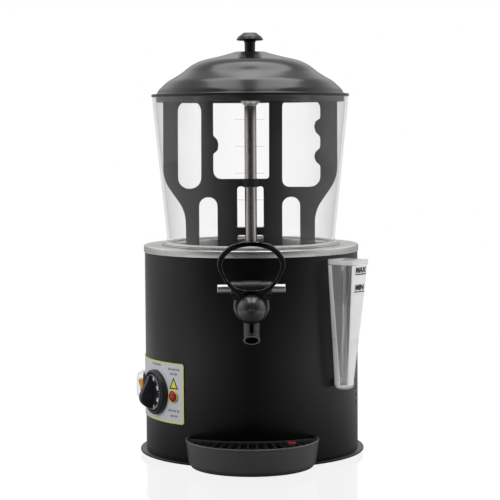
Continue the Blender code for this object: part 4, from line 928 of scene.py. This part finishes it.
def make_funnel():
    wall = 0.0016
    levels = [
        (FUNNEL_BOTTOM, 0.0062), (FUNNEL_BOTTOM + 0.0006, 0.0038),
        (FUNNEL_BOTTOM + 0.0018, 0.0018), (FUNNEL_BOTTOM + 0.0036, 0.0006),
        (FUNNEL_BOTTOM + 0.0060, 0.0001), (FUNNEL_NECK, 0.0), (FUNNEL_TOP - 0.0082, 0.0008),
        (FUNNEL_TOP - 0.0078, 0.0002), (FUNNEL_TOP - 0.0070, 0.0), (FUNNEL_TOP - 0.0006, 0.0),
        (FUNNEL_TOP, 0.0005), (FUNNEL_TOP, wall - 0.0005), (FUNNEL_TOP - 0.0006, wall),
        (FUNNEL_NECK, wall), (FUNNEL_BOTTOM + 0.0052, wall + 0.0004),
        (FUNNEL_BOTTOM + 0.0036, wall + 0.0018), (FUNNEL_BOTTOM + 0.0030, wall + 0.0040),
    ]
    bm = loft(funnel_rings(levels))
    bmesh.ops.remove_doubles(bm, verts=bm.verts, dist=0.0000005)
    funnel = finish_piece("level_funnel", bm, FUNNEL_CLEAR, 40.0)
    hole = rod("hole", (0, -0.1525, SPIGOT_HEIGHT), (0, -0.1400, SPIGOT_HEIGHT), 0.0063)
    combine(funnel, "DIFFERENCE", hole)
    place = station(FUNNEL_AZIMUTH, 0.0)
    put(funnel, "machine", "fill_funnel", slot="clear_plastic", place=place)
    # The foot is a milky band inside the funnel's thick base: a painted highlight.
    levels = [
        (FUNNEL_BOTTOM + 0.0004, 0.0055), (FUNNEL_BOTTOM + 0.0018, 0.0024),
        (FUNNEL_BOTTOM + 0.0036, 0.0009), (FUNNEL_BOTTOM + 0.0036, 0.0016),
        (FUNNEL_BOTTOM + 0.0032, 0.0050),
    ]
    foot = finish_piece("funnel_foot_highlight", loft(funnel_rings(levels)), FOOT_HIGHLIGHT_CLEAR)
    put(foot, "machine", slot="clear_plastic", place=place)
    # Milky strips just inside the funnel's wall on one face, one edge and one corner: painted
    # highlights.
    strips = (
        ("funnel_face_highlight", 29, 39, 0.0, EDGE_HIGHLIGHT_CLEAR),
        ("funnel_edge_highlight", 16, 22, 0.0026, EDGE_HIGHLIGHT_CLEAR),
        ("funnel_corner_highlight", 2, 8, 0.0, CORNER_HIGHLIGHT_CLEAR),
    )
    pieces = [funnel, foot]
    for name, first, last, tail, material in strips:
        rings = []
        for z in (0.1020, FUNNEL_NECK, 0.1400, 0.1800, 0.2200, 0.2600):
            arcs = [funnel_section(z, inset)[first:last] for inset in (0.0003, 0.0013)]
            if tail:
                arcs = [[*arc, (arc[-1][0], arc[-1][1] - tail)] for arc in arcs]
            rings.append([(x, y, z) for x, y in arcs[0] + arcs[1][::-1]])
        strip = finish_piece(name, loft(rings), material)
        put(strip, "machine", slot="clear_plastic", place=place)
        pieces.append(strip)
    # A milky band just inside the funnel's top rim: a painted highlight.
    low, high = FUNNEL_TOP - 0.0066, FUNNEL_TOP - 0.0008
    levels = [(low, 0.0003), (high, 0.0003), (high, 0.0013), (low, 0.0013)]
    rim = finish_piece("funnel_rim_highlight", loft(funnel_rings(levels), around=True), RIM_HIGHLIGHT_CLEAR)
    put(rim, "machine", slot="clear_plastic", place=place)
    for piece in (*pieces, rim):
        piece.visible_shadow = False
    make_level_marks(place)


def lettering(text, size, thickness=0.0003, weight=0.0):
    """Text lying in the XZ plane, centred, as a bmesh."""
    data = bpy.data.curves.new("text", "FONT")
    data.body = text
    data.size = size
    data.align_x = "CENTER"
    data.align_y = "CENTER"
    data.extrude = thickness / 2
    data.offset = weight
    data.resolution_u = 3
    return mesh_of(data, spun(90, "X"))


def make_level_marks(place):
    """Printed highest and lowest level marks on the funnel's front."""
    pieces = []
    middle, half = 0.0015, 0.0110
    for text, line in (("MAX", 0.2487), ("MIN", 0.2258)):
        bm = lettering(text, 0.0096, weight=0.0004)
        bm.transform(moved(middle, 0.0, line + 0.0053))
        outline = rectangle(middle - half, middle + half, line - 0.0006, line + 0.0006, 0.0003, 2)
        rule = plate([outline], 0.0003)
        for part in (bm, rule):
            for vert in part.verts:
                vert.co.y += min(y for _, y in funnel_section(vert.co.z, 0.0)) - 0.0003
        pieces += [finish_piece("letters", bm, INK), finish_piece("line", rule, INK)]
    marks = join("level_marks", *pieces)
    put(marks, "machine", slot="black_plastic", place=place)


# ---------------------------------------------------------------- controls
LABEL_R = 0.1457
LABEL_LEFT, LABEL_RIGHT = 115, 37.8
LABEL_LOW, LABEL_HIGH = 0.051, 0.131
WORD_GAP = 0.0014
RULE_HALF = 0.0014


def along(azimuth):
    """The arc length to the left of the front at the label's middle."""
    return math.radians(azimuth) * LABEL_R


def rectangle(left, right, low, high, corner, steps=6):
    """Outline of a label area. Sides are arc lengths to the left of the front."""
    sides = ((left, high), (right, high), (right, low), (left, low))
    return rounded([(*side, corner) for side in sides], steps)


def film(name, loops, thickness, lift, material):
    """A plate wrapped round the body, its middle lifted off the label's middle."""
    bm = plate(loops, thickness)
    wrap(bm, LABEL_R + lift)
    return finish_piece(name, bm, material)


def make_label():
    right, left = along(LABEL_RIGHT), along(LABEL_LEFT)
    holes = []
    for (azimuth, height), radius in ((DIAL, 0.0065), (LAMP, 0.0078)):
        turns = [2 * math.pi * k / 32 for k in range(32)]
        s = along(azimuth)
        holes.append([(s + radius * math.cos(a), height + radius * math.sin(a)) for a in turns])
    s = along(SWITCH[0])
    holes.append(rectangle(s - 0.0112, s + 0.0112, 0.0750, 0.1030, 0.001, 3))
    outline = rectangle(right, left, LABEL_LOW, LABEL_HIGH, 0.0035)
    label = film("control_plate", [outline, *holes], 0.0008, 0.0, FILM)
    put(label, "machine", "control_label", slot="label_film")
    rings = [
        rectangle(right + inset, left - inset, LABEL_LOW + inset, LABEL_HIGH - inset, corner)
        for inset, corner in ((0.0001, 0.0034), (0.0014, 0.0024))
    ]
    border = film("control_border", rings, 0.00016, 0.00048, YELLOW_INK)
    put(border, "machine", slot="label_film")

    rules = []
    lamp, dial = along(LAMP[0]), along(DIAL[0]) - 0.001
    for centre, height, words in (
        (lamp, 0.1228, (0.0052, 0.0072, 0.0060)),
        (lamp, 0.1168, (0.0060, 0.0062)),
        (lamp, 0.0680, (0.0048, 0.0068, 0.0066)),
        (lamp, 0.0610, (0.0050, 0.0070)),
        (dial, 0.1262, (0.0070, 0.0080, 0.0060)),
    ):
        start = centre - (sum(words) + WORD_GAP * (len(words) - 1)) / 2
        for word in words:
            low, high = height - RULE_HALF, height + RULE_HALF
            loop = rectangle(start, start + word, low, high, 0.0003, 2)
            rules.append(film("rule", [loop], 0.00012, 0.00046, GREY_INK))
            start += word + WORD_GAP
    put(join("control_rules", *rules), "machine", slot="label_film")

    base, tall, wide = 0.0968, 0.0158, 0.0084
    outer, inner = (
        rounded([(lamp, top, corner), (lamp + half, low, corner), (lamp - half, low, corner)])
        for top, low, half, corner in (
            (base + tall, base, wide, 0.0008),
            (base + tall - 0.0036, base + 0.0015, wide - 0.0027, 0.0004),
        )
    )
    edge = film("triangle_edge", [outer, inner], 0.00018, 0.00049, INK)
    field = film("triangle_field", [inner], 0.00014, 0.00047, YELLOW_INK)
    for piece in (edge, field):
        put(piece, "machine", slot="label_film")


def make_lamp():
    place = outward(*LAMP)
    ring = [(0.0084, 0.1478, 0.0006), (0.0084, 0.1464), (0.0075, 0.1464), (0.0075, 0.1480, 0.0004)]
    piece = turned("lamp_ring", ring, RING_YELLOW, 64, place)
    put(piece, "machine", "lamp_bezel", slot="ring_yellow")
    lens = [
        (0.0, 0.1502), (0.0028, 0.1499, 0.0010), (0.0058, 0.1488, 0.0020),
        (0.0072, 0.1472, 0.0006), (0.0072, 0.1380), (0.0, 0.1380),
    ]
    put(turned("lamp_glass", lens, RED_LENS, 64, place), "machine", "lamp_lens", slot="red_lens")


DIAL_FIGURES = ("0", "30", "50", "70", "90", "110")
DIAL_START, DIAL_SWEEP = 120, 240
DIAL_TICKS = 25


def make_thermostat():
    place = outward(*DIAL)
    bore, rim = 0.0255, 0.0300
    profile = [
        (0.0275, 0.1527, 0.0008), (0.0293, 0.1514, 0.0010), (rim, 0.1500, 0.0006),
        (rim, 0.1380), (bore, 0.1380), (bore, 0.1516, 0.0006), (0.0262, 0.1524, 0.0004),
    ]
    bezel = turned("dial_bezel", profile, DIAL_PLASTIC, 96, place)
    combine(bezel, "DIFFERENCE", drum(0.0, 0.2, 0.1464))
    put(bezel, "machine", "thermostat_bezel", slot="black_plastic")

    disc = [
        (0.0, 0.1530), (0.0205, 0.1530, 0.0006), (0.0238, 0.1526, 0.0006),
        (0.0248, 0.1512, 0.0006), (0.0248, 0.1482), (0.0034, 0.1482), (0.0034, 0.1525),
        (0.0, 0.1525),
    ]
    knob = turned("dial_knob", disc, DIAL_PLASTIC, 96)
    combine(knob, "UNION", make_grip())
    put(knob, "thermostat_knob", "thermostat_knob", slot="black_plastic", place=place)

    marks = []
    for k, text in enumerate(DIAL_FIGURES):
        turn = DIAL_START - DIAL_SWEEP * k / (len(DIAL_FIGURES) - 1)
        bm = lettering(text, 0.0058, 0.0002, 0.0002)
        bm.transform(spun(turn - 90, "Z") @ moved(0, 0.0190, 0.15305) @ spun(-90, "X"))
        marks.append(finish_piece("figure", bm, WHITE_INK))
    for k in range(DIAL_TICKS + 1):
        long = 0.0024 if k % 5 == 0 else 0.0014
        tick = block("tick", (0.0232 - long, -0.0004, 0.1526), (0.0232, 0.0004, 0.1531), WHITE_INK)
        tick.data.transform(spun(DIAL_START - DIAL_SWEEP * k / DIAL_TICKS, "Z"))
        marks.append(tick)
    figures = join("dial_figures", *marks)
    put(figures, "thermostat_knob", slot="black_plastic", place=place)


def make_grip():
    """A pointer grip whose side view is a low arch, narrow at its pointing end."""
    rings = []
    low, length, count = 0.1527, 0.0430, 24
    for k in range(count + 1):
        share = k / count
        fullness = 0.55 + 0.45 * share
        swell = math.sin(math.pi * min(share**1.45 * 0.93 + 0.035, 1.0))
        height = 0.0028 + 0.0172 * swell**0.75 * fullness
        half = 0.0018 + 0.0062 * math.sin(math.pi * (0.10 + 0.80 * share)) ** 0.8 * fullness
        top, corner = half * 0.72, min(0.0022, height * 0.4)
        ring = [(-half, low), (half, low), (top, low + height, corner), (-top, low + height, corner)]
        y = 0.0225 - length * share
        rings.append([(p.x, y, p.y) for p in rounded(ring, 4)])
    return finish_piece("grip", loft(rings), DIAL_PLASTIC, 40.0)


def make_switch():
    place = station(*SWITCH)
    housing = block("switch_frame", (-0.0125, -0.1488, -0.0165), (0.0125, -0.1464, 0.0165), PLASTIC)
    soften(housing, 0.0008)
    body = block("b", (-0.0103, -0.1480, -0.0133), (0.0103, -0.1316, 0.0133))
    cavity = block("c", (-0.0086, -0.1500, -0.0115), (0.0086, -0.1334, 0.0115))
    combine(housing, "UNION", body)
    combine(housing, "DIFFERENCE", cavity)
    put(housing, "machine", "rocker_housing", slot="black_plastic", place=place)

    tilt = moved(0, -0.1405, 0) @ spun(9, "X")
    side = rounded(
        [
            (-0.0140, -0.0096, 0.001), (-0.0126, 0.0000, 0.012), (-0.0140, 0.0096, 0.001),
            (0.0040, 0.0096, 0.001), (0.0040, -0.0096, 0.001),
        ]
    )
    bm = plate([side], 0.0160)
    bm.transform(spun(90, "Z"))
    lever = soften(finish_piece("rocker_cap", bm, ORANGE), 0.0008, 3)
    put(lever, "rocker", "rocker_lever", slot="rocker_orange", place=place @ tilt)

    rings = []
    for y, half_x, half_z, corner in (
        (-0.1566, 0.0086, 0.0114, 0.0026), (-0.1552, 0.0112, 0.0140, 0.0026),
        (-0.1497, 0.0138, 0.0173, 0.0018), (-0.1465, 0.0138, 0.0173, 0.0018),
        (-0.1465, 0.0150, 0.0185, 0.0025), (-0.1500, 0.0150, 0.0185, 0.0025),
        (-0.1562, 0.0122, 0.0150, 0.0035), (-0.1576, 0.0108, 0.0136, 0.0035),
        (-0.1578, 0.0090, 0.0118, 0.0030),
    ):
        corners = [(sx * half_x, sz * half_z, corner) for sx, sz in QUARTERS]
        rings.append([(p.x, y, p.y) for p in rounded(corners)])
    cover = finish_piece("splash_cover", loft(rings), COVER_CLEAR, 30.0)
    put(cover, "machine", "switch_cover", slot="clear_plastic", place=place)


# ---------------------------------------------------------------- drip tray
TRAY_OUT = 0.1326
TRAY_R = 0.0870
GRATE_SLOTS = 17
GRATE_STEP = 3.7


def make_tray():
    place = moved(0, -TRAY_OUT, 0)
    outer = [
        (0.0, 0.0367), (TRAY_R, 0.0367, 0.0014), (TRAY_R, 0.0345, 0.0006),
        (TRAY_R - 0.0006, 0.0340, 0.0004), (TRAY_R - 0.0040, 0.0062, 0.0040),
        (TRAY_R - 0.0080, 0.0006, 0.0030), (0.0, 0.0006),
    ]
    tray = turned("drip_bowl", outer, TRAY_PLASTIC, 160, place)
    basin = [
        (0.0, 0.0500), (TRAY_R - 0.0025, 0.0500), (TRAY_R - 0.0025, 0.0340),
        (TRAY_R - 0.0060, 0.0090, 0.0020), (TRAY_R - 0.0090, 0.0070, 0.0010), (0.0, 0.0070),
    ]
    hollow = turned("hollow", basin, TRAY_PLASTIC, 160, place)
    combine(hollow, "DIFFERENCE", drum(0.0, 0.0600, BODY_R + 0.0035))
    room, flange = drum(-0.0100, 0.0600, BODY_R + 0.0013), drum(-0.0100, 0.0042, BASE_R + 0.0015)
    combine(tray, "DIFFERENCE", hollow, room, flange, drum(0.0341, 0.0600, BODY_R + 0.0042))
    ribs = [
        block("rib", (x - 0.001, -0.2000, 0.0050), (x + 0.001, -0.1560, 0.0290), TRAY_PLASTIC)
        for x in (-0.0400, 0.0400)
    ]
    combine(tray, "UNION", *ribs)
    put(tray, "tray", "drip_tray", slot="black_plastic")

    low, high = 0.0300, 0.0335
    edge = TRAY_R - 0.0032
    profile = [(0.0, high), (edge, high, 0.0006), (edge, low), (0.0, low)]
    grate = turned("drip_grid", profile, GRATE_PLASTIC, 160, place)
    combine(grate, "DIFFERENCE", drum(0.0, 0.06, BODY_R + 0.0041))
    slots = []
    for k in range(GRATE_SLOTS):
        turn = (k - (GRATE_SLOTS - 1) / 2) * GRATE_STEP
        reach = 0.0580 * math.cos(math.radians(turn * 2))
        slot = block("slot", (-0.0043, -reach / 2, -0.01), (0.0043, reach / 2, 0.01))
        slot.data.transform(spun(turn, "Z") @ moved(0, -0.1808, 0.0320))
        slots.append(slot)
    combine(grate, "DIFFERENCE", join("slots", *slots))
    pad = rod("pad", (FLOAT_X, FLOAT_Y, low), (FLOAT_X, FLOAT_Y, high), 0.0090)
    hole = rod("hole", (FLOAT_X, FLOAT_Y, 0.020), (FLOAT_X, FLOAT_Y, 0.040), 0.0058)
    combine(grate, "UNION", pad)
    combine(grate, "DIFFERENCE", hole)
    put(soften(grate, 0.0006, 3, 50.0), "grate", "drip_grate", slot="black_plastic")

    red = [
        (0.0, 0.0350), (0.0052, 0.0350, 0.0006), (0.0052, 0.0180, 0.0004),
        (0.0090, 0.0180, 0.0006), (0.0090, 0.0090, 0.0006), (0.0, 0.0090),
    ]
    place = moved(FLOAT_X, FLOAT_Y, 0.0)
    piece = turned("level_float", red, FLOAT_RED, 48, place)
    put(piece, "float", "tray_float", slot="float_red")


# ---------------------------------------------------------------- back of the body
def make_back():
    to_back = spun(-90, "X")
    gland = [
        (0.0060, 0.1660, 0.0008), (0.0082, 0.1655, 0.0008), (0.0108, 0.1600, 0.0008),
        (0.0108, 0.1455, 0.0006), (0.0080, 0.1455), (0.0080, 0.1390), (0.0042, 0.1390),
        (0.0042, 0.1660, 0.0006),
    ]
    place = moved(GLAND[0], 0, GLAND[1]) @ to_back
    piece = turned("rear_gland", gland, PLASTIC, 64, place)
    cutter = flutes(12, 0.0118, 0.1480, 0.1700, 0.0016)
    cutter.data.transform(place)
    combine(piece, "DIFFERENCE", cutter)
    put(piece, "machine", "cable_gland", slot="black_plastic")

    cap = [
        (0.0, 0.1620), (0.0085, 0.1620, 0.0010), (0.0095, 0.1608, 0.0008),
        (0.0095, 0.1462, 0.0005), (0.0060, 0.1462), (0.0060, 0.1485), (0.0, 0.1485),
    ]
    place = moved(DRAIN[0], 0, DRAIN[1]) @ to_back
    piece = turned("rear_cap", cap, PLASTIC, 64, place)
    cutter = flutes(16, 0.0101, 0.1475, 0.1640, 0.0010, sides=12)
    cutter.data.transform(place)
    combine(piece, "DIFFERENCE", cutter)
    put(piece, "drain_cap", "drain_cap", slot="black_plastic")


def finish_cad_nodes():
    """Gives the pieces that keep their CAD shape, most of them hidden, their finish."""
    kept = {
        STEEL: ("water_tank", "inlet_spigot", "drain_pipe", "drive_shaft"),
        BRIGHT: ("tap_nut", "tap_spring"),
        ZINC: (
            "gearbox", "drive_motor", "motor_bracket", "element_plate", "inlet_nut",
            "knob_screw", "tray_bracket",
        ),
        PLASTIC: (
            "shaft_bush_top", "shaft_bush_bottom", "thermal_cutout", "terminal_block",
            "thermostat_body",
        ),
        RUBBER: ("tap_gasket", "tap_seal"),
        SILICONE: ("outlet_seal",),
        HEATED: ("heating_element",),
    }
    for material, names in kept.items():
        for name in names:
            mesh = nodes[name].data
            mesh.materials.clear()
            mesh.materials.append(material)


# ---------------------------------------------------------------- stage, lights and camera
# Painted light on the floor, seen only by rays other than the camera's: grey levels by sideways
# distance, dark along the middle, lighter to the sides.
FLOOR_PAINTED_LIGHT_LEVELS = ((0.0, 0.09), (0.25, 0.20), (0.7, 0.56))
ROOM_LEVELS = ((0.0, 0.0), (0.08, 0.02), (0.2, 0.14), (0.38, 0.55), (0.62, 0.70), (0.9, 0.38))
SKY_LEVELS = ((0.0, 0.0), (0.12, 0.0), (0.4, 0.6), (0.52, 0.35), (0.66, 0.05), (0.95, 0.0))
BEHIND_LEVELS = ((0.0, 0.0), (0.45, 0.0), (0.65, 1.0), (1.0, 1.0))
WHITE = (1.0, 1.0, 1.0, 1.0)


def split_xyz(tree, vector):
    made = node(tree, "SeparateXYZ")
    tree.links.new(vector, made.inputs["Vector"])
    return made.outputs


def to_camera(tree, other, shown):
    """One shader for the camera and another for all other rays."""
    return mixed(tree, node(tree, "LightPath").outputs["Is Camera Ray"], other, shown)


def make_stage():
    """White to the camera with a faint reflection. To everything else a dimmer floor with painted
    light: dark along the middle, lighter to the sides.
    """
    made, tree, shader = new_material("studio floor")
    fill(shader, Roughness=0.5)
    coords = node(tree, "TexCoord").outputs["Object"]
    aside = compute(tree, "Math", "ABSOLUTE", split_xyz(tree, coords)["X"])["Value"]
    tree.links.new(greys(tree, aside, FLOOR_PAINTED_LIGHT_LEVELS), shader.inputs["Base Color"])
    near = node(tree, "MapRange", From_Min=0.5, From_Max=1.6, To_Min=0.35, To_Max=0.0)
    near.interpolation_type = "SMOOTHSTEP"
    tree.links.new(compute(tree, "VectorMath", "LENGTH", coords)["Value"], near.inputs["Value"])
    fade = near.outputs["Result"]
    white = node(tree, "Emission", Color=WHITE)
    lift = compute(tree, "Math", "ADD", fade, 1.0)["Value"]
    tree.links.new(lift, white.inputs["Strength"])
    mirror = node(tree, "BsdfGlossy", Roughness=0.03)
    shown = mixed(tree, fade, white.outputs["Emission"], mirror.outputs["BSDF"])
    surface = to_camera(tree, shader.outputs["BSDF"], shown)
    tree.links.new(surface, tree.nodes["Material Output"].inputs["Surface"])
    bm = bmesh.new()
    bmesh.ops.create_grid(bm, x_segments=1, y_segments=1, size=6.0)
    bm.transform(moved(0, 0, FLOOR))
    mesh = bpy.data.meshes.new("studio_floor")
    bm.to_mesh(mesh)
    bm.free()
    mesh.materials.append(made)
    floor = bpy.data.objects.new("studio_floor", mesh)
    bpy.context.scene.collection.objects.link(floor)


def make_world():
    """White to the camera. To everything else, dark in front, bright at the sides, dimmer behind."""
    world = bpy.data.worlds.new("studio")
    bpy.context.scene.world = world
    world.use_nodes = True
    tree = world.node_tree
    parts = split_xyz(tree, node(tree, "TexCoord").outputs["Generated"])
    share = node(tree, "MapRange", From_Min=-1.0)
    tree.links.new(parts["Y"], share.inputs["Value"])
    around = greys(tree, share.outputs["Result"], ROOM_LEVELS)
    above = greys(tree, parts["Z"], SKY_LEVELS)
    behind = greys(tree, share.outputs["Result"], BEHIND_LEVELS)
    both = compute(tree, "VectorMath", "MULTIPLY_ADD", above, behind, around)["Vector"]
    room = tree.nodes["Background"]
    tree.links.new(both, room.inputs["Color"])
    white = node(tree, "Background", Color=WHITE)
    surface = to_camera(tree, room.outputs["Background"], white.outputs["Background"])
    tree.links.new(surface, tree.nodes["World Output"].inputs["Surface"])


def area_light(name, place, target, size, power, glossy=True):
    data = bpy.data.lights.new(name, "AREA")
    data.shape = "RECTANGLE"
    data.size, data.size_y = size
    data.energy = power
    light = bpy.data.objects.new(name, data)
    bpy.context.scene.collection.objects.link(light)
    light.location = place
    light.rotation_euler = (Vector(target) - Vector(place)).to_track_quat("-Z", "Y").to_euler()
    light.visible_camera = False
    light.visible_glossy = glossy


def make_lights():
    area_light("left softbox", (-1.5, -0.75, 0.75), (0, 0, 0.25), (0.6, 1.6), 14.0, glossy=False)
    area_light("right softbox", (1.5, -0.75, 0.75), (0, 0, 0.25), (0.6, 1.6), 12.0, glossy=False)
    area_light("left top softbox", (-0.39, -0.10, 1.8), (-0.39, -0.10, 0.5), (0.50, 1.85), 6.6)
    area_light("right top softbox", (0.42, -0.10, 1.8), (0.42, -0.10, 0.5), (0.62, 1.85), 9.4)
    area_light("back top softbox", (0.01, 0.55, 1.8), (0.01, 0.55, 0.5), (0.30, 0.55), 1.5)
    area_light("front softbox", (0.0, -1.8, 1.7), (0, 0, 0.3), (1.5, 0.8), 9.0, glossy=False)


CAMERA_PLACE = (-0.0015, -2.412, 0.4407)
CAMERA_LENS = 127.4
CAMERA_TILT = 90 - 3.99
CAMERA_ROLL = -0.35


def make_camera():
    data = bpy.data.cameras.new("photo view")
    data.lens = CAMERA_LENS
    data.sensor_width = 36.0
    camera = bpy.data.objects.new("photo view", data)
    bpy.context.scene.collection.objects.link(camera)
    camera.matrix_world = moved(*CAMERA_PLACE) @ spun(CAMERA_TILT, "X") @ spun(CAMERA_ROLL, "Z")
    bpy.context.scene.camera = camera
    bpy.context.scene.view_settings.view_transform = "Standard"


make_base()
make_shell()
make_deck()
make_pot()
make_bowl()
make_lid()
make_paddle()
make_column()
make_tap_body()
make_handle()
make_valve()
make_funnel()
make_label()
make_lamp()
make_thermostat()
make_switch()
make_tray()
make_back()
finish_cad_nodes()
make_stage()
make_world()
make_lights()
make_camera()
